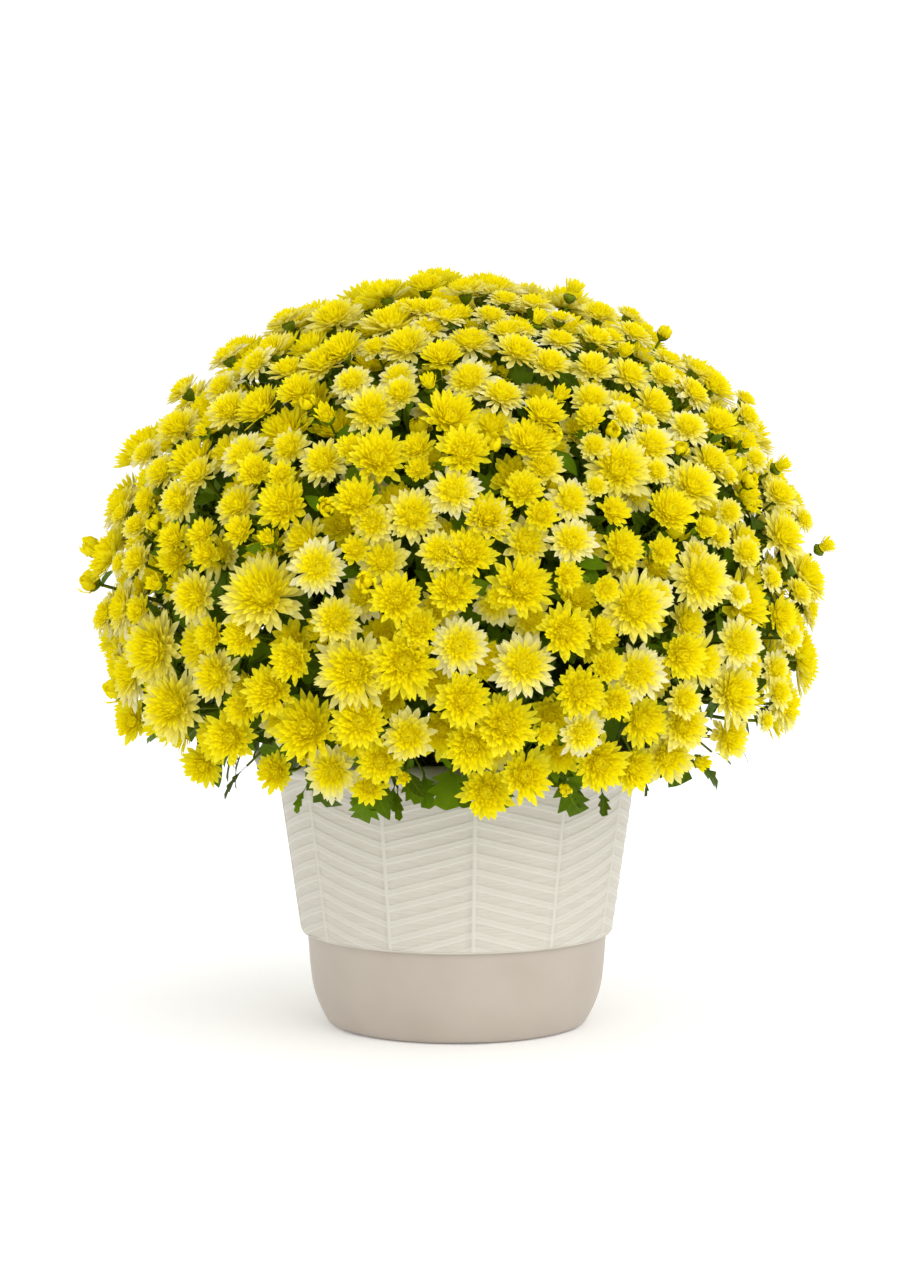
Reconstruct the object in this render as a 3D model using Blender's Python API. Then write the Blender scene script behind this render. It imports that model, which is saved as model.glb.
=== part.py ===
"""Yellow pot chrysanthemum in a two-tone plastic pot.

Metres, +Z up. The origin is on the pot's axis, in the plane that the pot stands on.
The front of the plant faces -Y. The pot is turned from one profile. The plant grows
from a woody crown in the potting mix: leafy shoots rise from it, and each carries one
spray, a fork of flower stalks with their flower heads, which end on one domed surface.
"""

import math
import random
from collections import namedtuple

import bmesh
import bpy
from mathutils import Matrix, Vector

# Pot. Its lip is a nominal 12 inches across; the other sizes follow from that.
LIP_RADIUS = 0.1545
LIP_TOP = 0.213
WALL = 0.003
COLLAR_TOP_RADIUS = 0.1370
COLLAR_TOP = 0.198
COLLAR_FOOT_RADIUS = 0.1197
COLLAR_FOOT = 0.0773
BOWL_TOP_RADIUS = 0.1146
BOWL_TOP = 0.0705
FOOT_RADIUS = 0.093
FOOT_RING_WIDTH = 0.006
FOOT_RING_EDGE = 0.0005
FOOT_HEIGHT = 0.004
FLOOR_RADIUS = 0.0880
# The pot's curves, as (radius, height) points: the bowl outside, the step under the
# collar, the rolled lip from the collar to its inner edge, and the bowl inside
BOWL_OUTSIDE = (
    (0.0999, 0.0037), (0.1060, 0.0156), (0.1101, 0.0280), (0.1120, 0.0405), (0.1139, 0.0640),
)
COLLAR_STEP = (0.1175, 0.0720)
LIP = (
    (0.1480, 0.1965), (0.1530, 0.1990), (LIP_RADIUS, 0.2040), (0.1515, 0.2100),
    (0.1440, LIP_TOP), (0.1375, 0.2110),
)
LIP_INNER_HEIGHT = 0.2040
COLLAR_INNER_FOOT = 0.0820
BOWL_INNER_TOP = 0.0700
BOWL_INSIDE = ((0.1090, 0.0405), (0.1030, 0.0170), (0.0950, 0.0078))
POT_SIDES = 48
NOTCHES = 6
NOTCH_LENGTH = 0.030
NOTCH_WIDTH = 0.020
NOTCH_HEIGHT = 0.0028
NOTCH_TURN = math.radians(-84.0)
DRAIN_HOLES = 6
DRAIN_RADIUS = 0.006
DRAIN_CIRCLE = 0.060
DRAIN_SIDES = 16
DRAIN_CUT = 0.020

# Potting mix and the plant's crown
MIX_TOP = 0.186
MIX_SIDES = 32
MIX_GAP = 0.0008
MIX_FOOT = 0.0870
MIX_OUTSIDE = ((0.0935, 0.0083), (0.1020, 0.0170), (0.1078, 0.0400))
MIX_BOWL_TOP = 0.0705
MIX_COLLAR_FOOT = 0.0840
MIX_EDGE = (0.1304, 0.183)
MIX_CROWN = 0.0950
CROWN_RADIUS = 0.052
CROWN_TOP = 0.192
CROWN_BEVEL = 0.002
CROWN_SIDES = 24
PLUG_RADIUS = 0.034
PLUG_TAPER = 0.006
PLUG_DEPTH = 0.060
GAP = 0.0003

# Dome of flowers, about a centre on the pot's axis
DOME_CENTRE = Vector((0.0, 0.0, 0.330))
DOME_RADIUS = 0.273
DOME_UP = 0.243
DOME_DOWN = 0.170
UNDERSIDE_POWER = 3.0
LOWEST_ANGLE = math.radians(124.0)
UPWARD_LEAN = 0.28
FRONT_LEAN = 0.50
FRONT_LEAN_ENDS = 0.75

# Shoots and sprays
SPRAYS = 22
GOLDEN_ANGLE = math.pi * (3.0 - math.sqrt(5.0))
HUB_SHARE = 0.55
HUB_RADIUS = 0.0075
STEM_RADIUS = 0.0026
STEM_TAPER = (1.25, 0.35)
STEM_POINT = 0.0001
STEM_FOOT_RING = 0.046
STEM_BEND = 0.040
STEM_BEND_LEVEL = 0.62
STEM_BEND_RISE = 0.022
STALK_RADIUS = 0.0015
STALK_ROOT = 0.002
CALYX_DEPTH = 0.011
CALYX_RADIUS = 0.0045
HEAD_DOME = 0.34
HEAD_SIDES = 5
STEM_SIDES = 5
STEM_RUNS = 5
LEAF_LENGTH = 0.042
LEAF_WIDTH = 0.019
LEAF_THICKNESS = 0.0016
LEAF_TURNS = (-100.0, 0.0, 100.0)
LEAF_STATIONS = ((0.0, 0.07), (0.36, 0.42), (0.68, 0.40))
LEAF_DROOP = 0.16
LEAF_LIFT = 0.12
LEAF_DEPTH = 0.007
LEAF_STEP = 0.006
LEAF_FAN = 8.0
LEAF_THINNING = 0.4
RIM_SHOOT_LEVEL = -0.02
RIM_LEAF_TURNS = (-17.0, 1.0, 18.0)
RIM_LEAF_ROOT = 0.236
RIM_LEAF_REACH = 0.174
RIM_LEAF_TIP = 0.190
RIM_LEAF_WIDTH = 0.017
RIM_LEAF_STATIONS = ((0.0, 0.07), (0.45, 0.40), (0.82, 0.36))

# Flower heads that the front view shows, as (across, down, width) in pixels of that
# view, which is 914 by 1279. Each lies where its line of sight meets the dome.
VIEW_CENTRE = (457.2, 639.5)
VIEW_FOCAL = 3412.0
VIEW_PITCH = math.radians(4.5)
VIEW_POINT = Vector((0.0, -2.592, 0.4974))
SIGHT_START = 2.26
SIGHT_STEP = 0.0025
SIGHT_STEPS = 160
DEEP_YELLOW_HEADS = (
    (383, 287, 48), (425, 280, 40), (341, 350, 46), (442, 358, 42), (256, 402, 50),
    (298, 390, 40), (451, 414, 56), (352, 446, 32), (378, 455, 56), (416, 444, 36),
    (418, 466, 28), (464, 452, 52), (256, 472, 36), (282, 475, 28), (144, 500, 28),
    (282, 503, 53), (357, 500, 48), (240, 531, 34), (202, 533, 32), (175, 539, 34),
    (470, 552, 52), (354, 548, 30), (457, 312, 32), (544, 416, 44), (589, 420, 31),
    (718, 424, 38), (530, 441, 50), (718, 379, 40), (523, 489, 40), (490, 514, 50),
    (542, 514, 34), (615, 511, 34), (670, 511, 50), (705, 528, 26), (625, 546, 42),
    (664, 551, 32), (171, 557, 38), (206, 554, 32), (397, 599, 53), (453, 590, 50),
    (419, 627, 40), (139, 610, 30), (209, 635, 36), (243, 636, 42), (290, 661, 45),
    (405, 664, 66), (268, 691, 53), (129, 722, 40), (464, 700, 54), (240, 708, 36),
    (304, 728, 68), (360, 722, 53), (231, 737, 52), (472, 747, 55), (199, 767, 42),
    (272, 773, 40), (380, 762, 46), (369, 787, 36), (524, 585, 60), (500, 596, 26),
    (568, 577, 32), (605, 590, 28), (782, 616, 38), (566, 632, 52), (603, 630, 32),
    (684, 656, 48), (580, 692, 52), (614, 703, 36), (608, 666, 34), (507, 725, 60),
    (547, 734, 24), (603, 765, 54), (527, 776, 52), (487, 793, 52), (637, 770, 46),
)
LEMON_HEADS = (
    (464, 287, 48), (331, 310, 54), (284, 316, 42), (391, 317, 62), (405, 343, 53),
    (268, 348, 46), (321, 358, 54), (287, 365, 42), (183, 390, 42), (400, 393, 40),
    (372, 410, 53), (228, 407, 46), (175, 424, 48), (158, 469, 42), (287, 444, 42),
    (321, 458, 48), (195, 472, 44), (178, 500, 46), (117, 511, 30), (234, 502, 48),
    (413, 513, 54), (372, 522, 42), (489, 516, 42), (136, 525, 32), (439, 551, 44),
    (601, 308, 42), (634, 309, 32), (507, 329, 40), (597, 337, 42), (519, 351, 48),
    (551, 362, 42), (593, 368, 42), (631, 373, 42), (701, 365, 36), (746, 399, 26),
    (662, 376, 34), (593, 396, 42), (659, 399, 46), (746, 418, 32), (648, 421, 25),
    (594, 446, 31), (544, 465, 44), (620, 466, 67), (715, 458, 46), (655, 472, 30),
    (596, 486, 26), (693, 486, 56), (780, 494, 42), (729, 475, 24), (732, 511, 30),
    (723, 533, 30), (746, 552, 36), (784, 536, 53), (136, 560, 38), (193, 596, 52),
    (259, 590, 84), (336, 619, 50), (150, 649, 74), (212, 675, 53), (352, 671, 76),
    (172, 705, 70), (408, 737, 50), (636, 607, 70), (701, 580, 62), (799, 591, 32),
    (684, 700, 38), (737, 692, 62), (777, 692, 32), (687, 725, 52), (732, 737, 46),
    (670, 759, 54),
)
CREAM_HEADS = (
    (225, 354, 44), (470, 334, 56), (217, 382, 40), (256, 365, 40), (352, 382, 42),
    (397, 371, 40), (469, 377, 52), (144, 452, 36), (241, 452, 52), (453, 491, 53),
    (506, 293, 36), (535, 298, 44), (561, 313, 30), (561, 337, 44), (636, 329, 44),
    (670, 356, 42), (503, 390, 52), (684, 382, 34), (695, 393, 44), (624, 416, 34),
    (687, 427, 44), (653, 444, 50), (760, 455, 30), (573, 497, 48), (572, 539, 48),
    (701, 553, 36), (805, 519, 30), (101, 613, 46), (116, 562, 28), (317, 567, 55),
    (461, 646, 57), (329, 773, 57), (737, 594, 28), (662, 592, 34), (774, 577, 32),
    (524, 664, 64), (740, 643, 52), (791, 638, 30), (782, 669, 38), (639, 672, 56),
    (583, 734, 48), (765, 720, 24),
)
OPENING_HEADS = (
    (430, 384, 24), (327, 416, 28), (203, 432, 18), (269, 539, 24), (572, 291, 28),
    (538, 320, 23), (624, 353, 22), (559, 397, 26), (746, 444, 20), (780, 466, 24),
    (824, 547, 24), (157, 585, 24), (404, 778, 20), (700, 762, 24),
)
BUDS = (
    (308, 404, 13), (327, 507, 14), (155, 524, 12), (93, 548, 17), (664, 334, 12),
    (613, 430, 13), (555, 435, 14), (493, 444, 15), (680, 449, 12), (749, 482, 14),
    (751, 507, 9), (91, 582, 17), (366, 582, 17), (116, 689, 18), (565, 790, 11),
)

# Heads round the sides and the back, which fill what the front view leaves bare
FILL_TRIES = 9000
FILL_RADIUS = (0.0200, 0.0275)
FILL_SHARE = 0.97
# They sink a little where they would stand out from the front view's outline, and stop
# at the lower edge of the flowers, which rises outwards
OUTLINE_REACH = 0.080
OUTLINE_DEPTH = 0.009
SKIRT_RADIUS = 0.190
SKIRT_HEIGHT = 0.206
SKIRT_SLOPE = 0.5
SOLID_HEAD_RADIUS = 0.0172
NEIGHBOUR_SHARE = 0.47

Head = namedtuple("Head", "place facing radius")


def clear_scene():
    for thing in list(bpy.data.objects):
        bpy.data.objects.remove(thing)


def material(name, colour, roughness, metallic=0.0):
    made = bpy.data.materials.new(name)
    made.use_nodes = True
    shader = made.node_tree.nodes["Principled BSDF"]
    shader.inputs["Base Color"].default_value = (*colour, 1.0)
    shader.inputs["Roughness"].default_value = roughness
    shader.inputs["Metallic"].default_value = metallic
    made.diffuse_color = (*colour, 1.0)
    return made


def add_object(name, bm, finish, smooth=False):
    bmesh.ops.recalc_face_normals(bm, faces=bm.faces)
    mesh = bpy.data.meshes.new(name)
    bm.to_mesh(mesh)
    bm.free()
    mesh.materials.append(finish)
    made = bpy.data.objects.new(name, mesh)
    bpy.context.collection.objects.link(made)
    if smooth:
        mesh.shade_smooth()
        mesh.set_sharp_from_angle(angle=math.radians(40.0))
    return made


def add_cutter(name, bm):
    cutter = add_object(name, bm, None)
    cutter.hide_render = True
    cutter.display_type = "WIRE"
    return cutter


def add_boolean(target, other, operation):
    step = target.modifiers.new(operation.title(), "BOOLEAN")
    step.operation = operation
    step.object = other
    step.use_self = operation == "UNION"


def turned(profile, sides):
    """A closed solid turned about +Z from (radius, height) points that form a loop."""
    bm = bmesh.new()
    points = [bm.verts.new((radius, 0.0, height)) for radius, height in profile]
    loop = points + [points[0]]
    edges = []
    for start, end in zip(loop, loop[1:]):
        on_axis = start.co.x == 0.0 and end.co.x == 0.0
        if not on_axis:
            edges.append(bm.edges.new((start, end)))
    bmesh.ops.spin(
        bm, geom=points + edges, cent=(0, 0, 0), axis=(0, 0, 1), angle=math.tau,
        steps=sides, use_merge=True,
    )
    bmesh.ops.remove_doubles(bm, verts=bm.verts, dist=1e-6)
    return bm


def round_the_axis(point):
    """The level direction that runs round the pot's axis at a point."""
    away = Vector((point.x, point.y, 0.0)).normalized()
    return Vector((-away.y, away.x, 0.0))


def ring(centre, direction, guide, width, height, sides):
    """Points round an ellipse square to a direction; the guide keeps rings from twisting."""
    side = direction.cross(guide).normalized()
    up = side.cross(direction).normalized()
    turns = [math.tau * k / sides for k in range(sides)]
    return [centre + side * (width * math.cos(a)) + up * (height * math.sin(a)) for a in turns]


def loft(bm, rings, apex):
    """Joins rings of equal count into one closed skin, with a flat start and a point."""
    made = [[bm.verts.new(point) for point in one] for one in rings]
    count = len(made[0])
    for low, high in zip(made, made[1:]):
        for k in range(count):
            after = (k + 1) % count
            bm.faces.new((low[k], low[after], high[after], high[k]))
    bm.faces.new(made[0])
    tip = bm.verts.new(apex)
    for k in range(count):
        bm.faces.new((made[-1][k], made[-1][(k + 1) % count], tip))


def dome_level(point):
    """One on the dome's surface, less inside it and more outside."""
    out = math.hypot(point.x, point.y) / DOME_RADIUS
    rise = point.z - DOME_CENTRE.z
    if rise > 0.0:
        return math.hypot(out, rise / DOME_UP)
    drop = -rise / DOME_DOWN
    return (out**UNDERSIDE_POWER + drop**UNDERSIDE_POWER) ** (1.0 / UNDERSIDE_POWER)


def dome_point(direction):
    return DOME_CENTRE + direction / dome_level(DOME_CENTRE + direction)


def head_facing(point, to_front=0.0):
    """Flowers turn away from the dome's centre, and lean towards the light above and in front."""
    away = (point - DOME_CENTRE).normalized()
    share = max(0.0, 1.0 - max(0.0, away.z / FRONT_LEAN_ENDS) ** 2)
    forward = (VIEW_POINT - point).normalized() * (to_front * share)
    return (away + Vector((0, 0, UPWARD_LEAN)) + forward).normalized()


def seen_head(across_view, down_view, width):
    """The head at a place in the front view: where its sight line meets the dome."""
    forward = Vector((0, math.cos(VIEW_PITCH), -math.sin(VIEW_PITCH)))
    up = Vector((0, math.sin(VIEW_PITCH), math.cos(VIEW_PITCH)))
    line = forward * VIEW_FOCAL - up * (down_view - VIEW_CENTRE[1])
    line.x = across_view - VIEW_CENTRE[0]
    line /= VIEW_FOCAL
    best = None
    for step in range(SIGHT_STEPS):
        depth = SIGHT_START + SIGHT_STEP * step
        point = VIEW_POINT + line * depth
        level = dome_level(point)
        if best is None or level < best[0]:
            best = (level, point, depth)
        if level <= 1.0:
            break
    level, point, depth = best
    return Head(point, head_facing(point, FRONT_LEAN), 0.5 * width / VIEW_FOCAL * depth)


def spiral_directions(count, lowest):
    """Directions spread evenly over the dome along a golden-angle spiral."""
    found = []
    for k in range(count):
        height = 1.0 - (1.0 - math.cos(lowest)) * (k + 0.5) / count
        out = math.sqrt(1.0 - height * height)
        turn = GOLDEN_ANGLE * k
        found.append(Vector((out * math.cos(turn), out * math.sin(turn), height)))
    return found


def fill_heads(heads, tries, radii, share, seed):
    """Adds heads at random places on the dome wherever they don't crowd others."""
    chance = random.Random(seed)
    for _ in range(tries):
        height = 1.0 - (1.0 - math.cos(LOWEST_ANGLE)) * chance.random()
        turn = math.tau * chance.random()
        radius = chance.uniform(*radii)
        out = math.sqrt(1.0 - height * height)
        place = dome_point(Vector((out * math.cos(turn), out * math.sin(turn), height)))
        if all((place - one.place).length > share * (radius + one.radius) for one in heads):
            heads.append(Head(place, head_facing(place), radius))


def above_skirt(place):
    """Whether a place is above the lower edge of the flowers."""
    out = math.hypot(place.x, place.y)
    return place.z > SKIRT_HEIGHT + SKIRT_SLOPE * max(0.0, out - SKIRT_RADIUS)


def sunk(head):
    """A head moved in along its own facing, the more the nearer it is to the outline."""
    share = max(0.0, 1.0 - abs(head.place.y) / OUTLINE_REACH) ** 0.5
    return head._replace(place=head.place - head.facing * (OUTLINE_DEPTH * share))


def all_heads():
    lists = DEEP_YELLOW_HEADS + LEMON_HEADS + CREAM_HEADS + OPENING_HEADS + BUDS
    heads = [seen_head(*one) for one in lists]
    seen = len(heads)
    fill_heads(heads, FILL_TRIES, FILL_RADIUS, FILL_SHARE, seed=4)
    return heads[:seen] + [sunk(head) for head in heads[seen:] if above_skirt(head.place)]


def make_pot(finish):
    """The pot with its foot ring, bowl, stepped collar and rolled lip."""
    foot_inside = FOOT_RADIUS - FOOT_RING_WIDTH
    outside = [(foot_inside, FOOT_HEIGHT), (foot_inside + FOOT_RING_EDGE, 0.0), (FOOT_RADIUS, 0.0)]
    outside += [*BOWL_OUTSIDE, (BOWL_TOP_RADIUS, BOWL_TOP), COLLAR_STEP]
    outside += [(COLLAR_FOOT_RADIUS, COLLAR_FOOT), (COLLAR_TOP_RADIUS, COLLAR_TOP), *LIP]
    inside = [
        (COLLAR_TOP_RADIUS - WALL, LIP_INNER_HEIGHT),
        (COLLAR_FOOT_RADIUS - WALL, COLLAR_INNER_FOOT),
        (BOWL_TOP_RADIUS - WALL, BOWL_INNER_TOP),
        *BOWL_INSIDE,
        (FLOOR_RADIUS, FOOT_HEIGHT + WALL),
        (0.0, FOOT_HEIGHT + WALL),
    ]
    pot = add_object("pot", turned([(0.0, FOOT_HEIGHT)] + outside + inside, POT_SIDES), finish, True)

    notches = bmesh.new()
    for k in range(NOTCHES):
        turn = NOTCH_TURN + math.tau * k / NOTCHES
        place = Matrix.Rotation(turn, 4, "Z") @ Matrix.Translation((FOOT_RADIUS, 0, 0))
        size = Matrix.Diagonal((NOTCH_LENGTH, NOTCH_WIDTH, 2.0 * NOTCH_HEIGHT, 1.0))
        bmesh.ops.create_cube(notches, size=1.0, matrix=place @ size)
    add_boolean(pot, add_cutter("foot_notches", notches), "DIFFERENCE")

    holes = bmesh.new()
    for k in range(DRAIN_HOLES):
        turn = NOTCH_TURN + math.tau * k / DRAIN_HOLES
        place = Vector((math.cos(turn), math.sin(turn), 0.0)) * DRAIN_CIRCLE
        place.z = FOOT_HEIGHT
        bmesh.ops.create_cone(
            holes, cap_ends=True, segments=DRAIN_SIDES, radius1=DRAIN_RADIUS,
            radius2=DRAIN_RADIUS, depth=DRAIN_CUT, matrix=Matrix.Translation(place),
        )
    add_boolean(pot, add_cutter("drain_holes", holes), "DIFFERENCE")


def make_potting_mix(finish):
    """The mix that fills the pot, with a pocket where the root plug sits."""
    pocket = PLUG_RADIUS + GAP
    mix_floor = FOOT_HEIGHT + WALL + GAP
    profile = [
        (0.0, mix_floor),
        (MIX_FOOT, mix_floor),
        *MIX_OUTSIDE,
        (BOWL_TOP_RADIUS - WALL - MIX_GAP, MIX_BOWL_TOP),
        (COLLAR_FOOT_RADIUS - WALL - MIX_GAP, MIX_COLLAR_FOOT),
        MIX_EDGE,
        (MIX_CROWN, MIX_TOP),
        (pocket, MIX_TOP),
        (pocket - PLUG_TAPER, MIX_TOP - PLUG_DEPTH - GAP),
        (0.0, MIX_TOP - PLUG_DEPTH - GAP),
    ]
    add_object("potting_mix", turned(profile, MIX_SIDES), finish, True)


def make_crown(finish):
    """The woody base on top of the mix, and the root plug below it."""
    profile = [
        (0.0, MIX_TOP - PLUG_DEPTH),
        (PLUG_RADIUS - PLUG_TAPER, MIX_TOP - PLUG_DEPTH),
        (PLUG_RADIUS, MIX_TOP + GAP),
        (CROWN_RADIUS, MIX_TOP + GAP),
        (CROWN_RADIUS - CROWN_BEVEL, CROWN_TOP),
        (0.0, CROWN_TOP),
    ]
    add_object("crown", turned(profile, CROWN_SIDES), finish, True)


def stem_route(seed):
    """A shoot's main stem, from the crown to the underside of its spray's hub."""
    angle = math.acos(seed.z)
    share = angle / LOWEST_ANGLE
    away = Vector((seed.x, seed.y, 0.0)).normalized()
    foot_out = STEM_FOOT_RING * math.sin(angle / 2.0) / math.sin(LOWEST_ANGLE / 2.0)
    foot = away * foot_out + Vector((0, 0, CROWN_TOP + GAP))
    hub = hub_place(seed)
    bend_out = STEM_BEND * math.sin(share * math.pi / 2.0) + foot_out
    bend_height = foot.z + STEM_BEND_LEVEL * (hub.z - foot.z) + STEM_BEND_RISE * share
    bend = away * bend_out + Vector((0, 0, bend_height))
    end = hub + (bend - hub).normalized() * (HUB_RADIUS + GAP)
    points = []
    for k in range(STEM_RUNS + 1):
        t = k / STEM_RUNS
        points.append(foot * (1 - t) ** 2 + bend * (2 * t * (1 - t)) + end * t**2)
    return points


def hub_place(seed):
    return DOME_CENTRE + (dome_point(seed) - DOME_CENTRE) * HUB_SHARE


def add_leaf(bm, root, reach, face, drop, bend_power, width, stations):
    """A leaf with a short stalk: a thin diamond section along a drooping line.

    Each station is a share of the length, and the blade's half width there as a share.
    """
    def line(share):
        return root + reach * share + Vector((0, 0, -drop * share**bend_power))

    rings = []
    for share, half_width in stations:
        direction = (line(share + 0.02) - line(share)).normalized()
        thickness = LEAF_THICKNESS * (1.0 - LEAF_THINNING * share)
        rings.append(ring(line(share), direction, face, half_width * width, 0.5 * thickness, 4))
    loft(bm, rings, line(1.0))


def hub_leaves(bm, seed, route, order, turns):
    """Leaves just under the hub, spread outward and down so that they stay apart."""
    along = (route[-1] - route[-2]).normalized()
    sideways = round_the_axis(seed)
    under = sideways.cross(along).normalized()
    for k, turn in enumerate(turns):
        lean = math.radians(turn + LEAF_FAN * ((order * 7 + k * 3) % 5 - 2))
        heading = under * math.cos(lean) + sideways * math.sin(lean)
        reach = (heading + along * LEAF_LIFT).normalized() * LEAF_LENGTH
        root = route[-1] - along * (LEAF_DEPTH + LEAF_STEP * ((k * 2 + order) % 4))
        drop = LEAF_DROOP * LEAF_LENGTH
        add_leaf(bm, root, reach, along, drop, 2, LEAF_WIDTH, LEAF_STATIONS)


def rim_leaves(bm, seed, route):
    """Leaves of a low shoot, which reach over the pot's lip and hang outside it."""
    low, high = next((a, b) for a, b in zip(route, route[1:]) if b.z >= RIM_LEAF_ROOT)
    root = low.lerp(high, (RIM_LEAF_ROOT - low.z) / (high.z - low.z))
    root_out = math.hypot(root.x, root.y)
    for turn in RIM_LEAF_TURNS:
        away = Vector((seed.x, seed.y, 0.0)).normalized()
        away.rotate(Matrix.Rotation(math.radians(turn), 3, "Z"))
        reach = away * (RIM_LEAF_REACH - root_out)
        drop = root.z - RIM_LEAF_TIP
        up = Vector((0, 0, 1))
        add_leaf(bm, root, reach, up, drop, 4, RIM_LEAF_WIDTH, RIM_LEAF_STATIONS)


def make_shoot(number, seed, finish):
    """A main stem, round in section, with its leaves joined on."""
    route = stem_route(seed)
    stem = bmesh.new()
    rings = []
    for k, point in enumerate(route):
        if k == 0:
            direction = Vector((0, 0, 1))
        else:
            direction = (point - route[k - 1]).normalized()
        radius = STEM_RADIUS * (STEM_TAPER[0] - STEM_TAPER[1] * k / STEM_RUNS)
        rings.append(ring(point, direction, round_the_axis(seed), radius, radius, STEM_SIDES))
    tip = route[-1] + (route[-1] - route[-2]).normalized() * STEM_POINT
    loft(stem, rings, tip)
    shoot = add_object(f"shoot_{number:02d}", stem, finish)
    leaves = bmesh.new()
    if seed.z < RIM_SHOOT_LEVEL:
        hub_leaves(leaves, seed, route, number, (LEAF_TURNS[0], LEAF_TURNS[-1]))
        rim_leaves(leaves, seed, route)
    else:
        hub_leaves(leaves, seed, route, number, LEAF_TURNS)
    add_boolean(shoot, add_cutter(f"shoot_{number:02d}_leaves", leaves), "UNION")


def make_spray(number, seed, heads, radii, finish):
    """A hub with one stalk and one cup-shaped, domed head for each flower."""
    hub = hub_place(seed)
    core = bmesh.new()
    bmesh.ops.create_icosphere(core, subdivisions=1, radius=HUB_RADIUS, matrix=Matrix.Translation(hub))
    spray = add_object(f"spray_{number:02d}", core, finish)
    flowers = bmesh.new()
    for head, radius in zip(heads, radii):
        calyx = head.place - head.facing * CALYX_DEPTH
        rise = (calyx - hub).normalized()
        turn = (rise + head.facing).normalized()
        guide = round_the_axis(head.place)
        rings = [
            ring(hub + rise * STALK_ROOT, rise, guide, STALK_RADIUS, STALK_RADIUS, HEAD_SIDES),
            ring(calyx, turn, guide, CALYX_RADIUS, CALYX_RADIUS, HEAD_SIDES),
            ring(head.place, head.facing, guide, radius, radius, HEAD_SIDES),
        ]
        loft(flowers, rings, head.place + head.facing * (HEAD_DOME * radius))
    add_boolean(spray, add_cutter(f"spray_{number:02d}_flowers", flowers), "UNION")


def make_plant(stem_finish, flower_finish):
    seeds = spiral_directions(SPRAYS, LOWEST_ANGLE)
    shares = [[] for _ in seeds]
    solid = [head for head in all_heads() if head.radius >= SOLID_HEAD_RADIUS]
    for head in solid:
        direction = (head.place - DOME_CENTRE).normalized()
        nearest = max(range(SPRAYS), key=lambda k: direction.dot(seeds[k]))
        shares[nearest].append(head)
    for number, (seed, mine) in enumerate(zip(seeds, shares), start=1):
        others = [head for share in shares if share is not mine for head in share]
        radii = []
        for head in mine:
            room = min((head.place - other.place).length for other in others)
            radii.append(min(head.radius, NEIGHBOUR_SHARE * room))
        make_shoot(number, seed, stem_finish)
        make_spray(number, seed, mine, radii, flower_finish)


def main():
    clear_scene()
    make_pot(material("pot_plastic", (0.60, 0.55, 0.48), 0.5))
    make_potting_mix(material("peat_mix", (0.035, 0.022, 0.014), 0.95))
    make_crown(material("woody_stem", (0.16, 0.11, 0.06), 0.8))
    make_plant(
        material("green_leaf", (0.06, 0.13, 0.02), 0.5),
        material("yellow_petal", (0.85, 0.70, 0.02), 0.6),
    )


main()
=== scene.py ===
"""Yellow pot chrysanthemum in a two-tone plastic pot.

The pot, its potting mix and the plant's crown come first, then the leafy shoots, and
then the sprays of flowers that the shoots carry. Metres, +Z up, front towards -Y.
"""

import math
import random
from collections import namedtuple

import bpy
import numpy as np
from mathutils import Matrix, Vector, noise


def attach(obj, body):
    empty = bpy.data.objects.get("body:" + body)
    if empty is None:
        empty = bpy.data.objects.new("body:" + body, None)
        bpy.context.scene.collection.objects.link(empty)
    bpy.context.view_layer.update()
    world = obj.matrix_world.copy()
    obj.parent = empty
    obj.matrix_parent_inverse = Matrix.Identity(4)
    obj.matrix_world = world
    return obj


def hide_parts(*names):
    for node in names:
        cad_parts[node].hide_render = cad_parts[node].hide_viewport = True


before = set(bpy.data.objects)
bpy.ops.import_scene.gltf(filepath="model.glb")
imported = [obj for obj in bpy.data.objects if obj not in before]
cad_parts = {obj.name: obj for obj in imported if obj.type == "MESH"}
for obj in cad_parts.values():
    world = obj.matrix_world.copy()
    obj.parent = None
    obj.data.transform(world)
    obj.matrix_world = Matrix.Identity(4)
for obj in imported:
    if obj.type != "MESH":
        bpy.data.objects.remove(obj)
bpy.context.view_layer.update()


# Pot
# One injection-moulded polypropylene pot: a smooth taupe bowl on a notched foot ring, and
# a wider collar with moulded upright ribs and a herringbone of slats between them. The
# collar and its rolled lip are washed with cream paint, which is thin in the recesses. The
# wash's brightness also holds painted light: painted highlight on raised edges, and painted
# shade in the recesses and under the collar.
RIBS = 12
RIB_TURN = math.radians(5.7)
RIB_HALF = 0.0019
RIB_RISE = 0.0006
# Across a rib: place as a share of its half width, and share of its rise
RIB_SECTION = ((-1.0, 0.0), (-0.72, 1.0), (0.0, 0.86), (0.72, 1.0))
SLAT_PITCH = 0.0119
SLAT_SLOPE = 0.275
SLAT_AT_RIB = 0.1312
PANEL_COLUMNS = 12
MM = 0.001
COLLAR_FOOT = (0.1190, 0.0727)
COLLAR_TOP = (0.1370, 0.1980)
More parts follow.
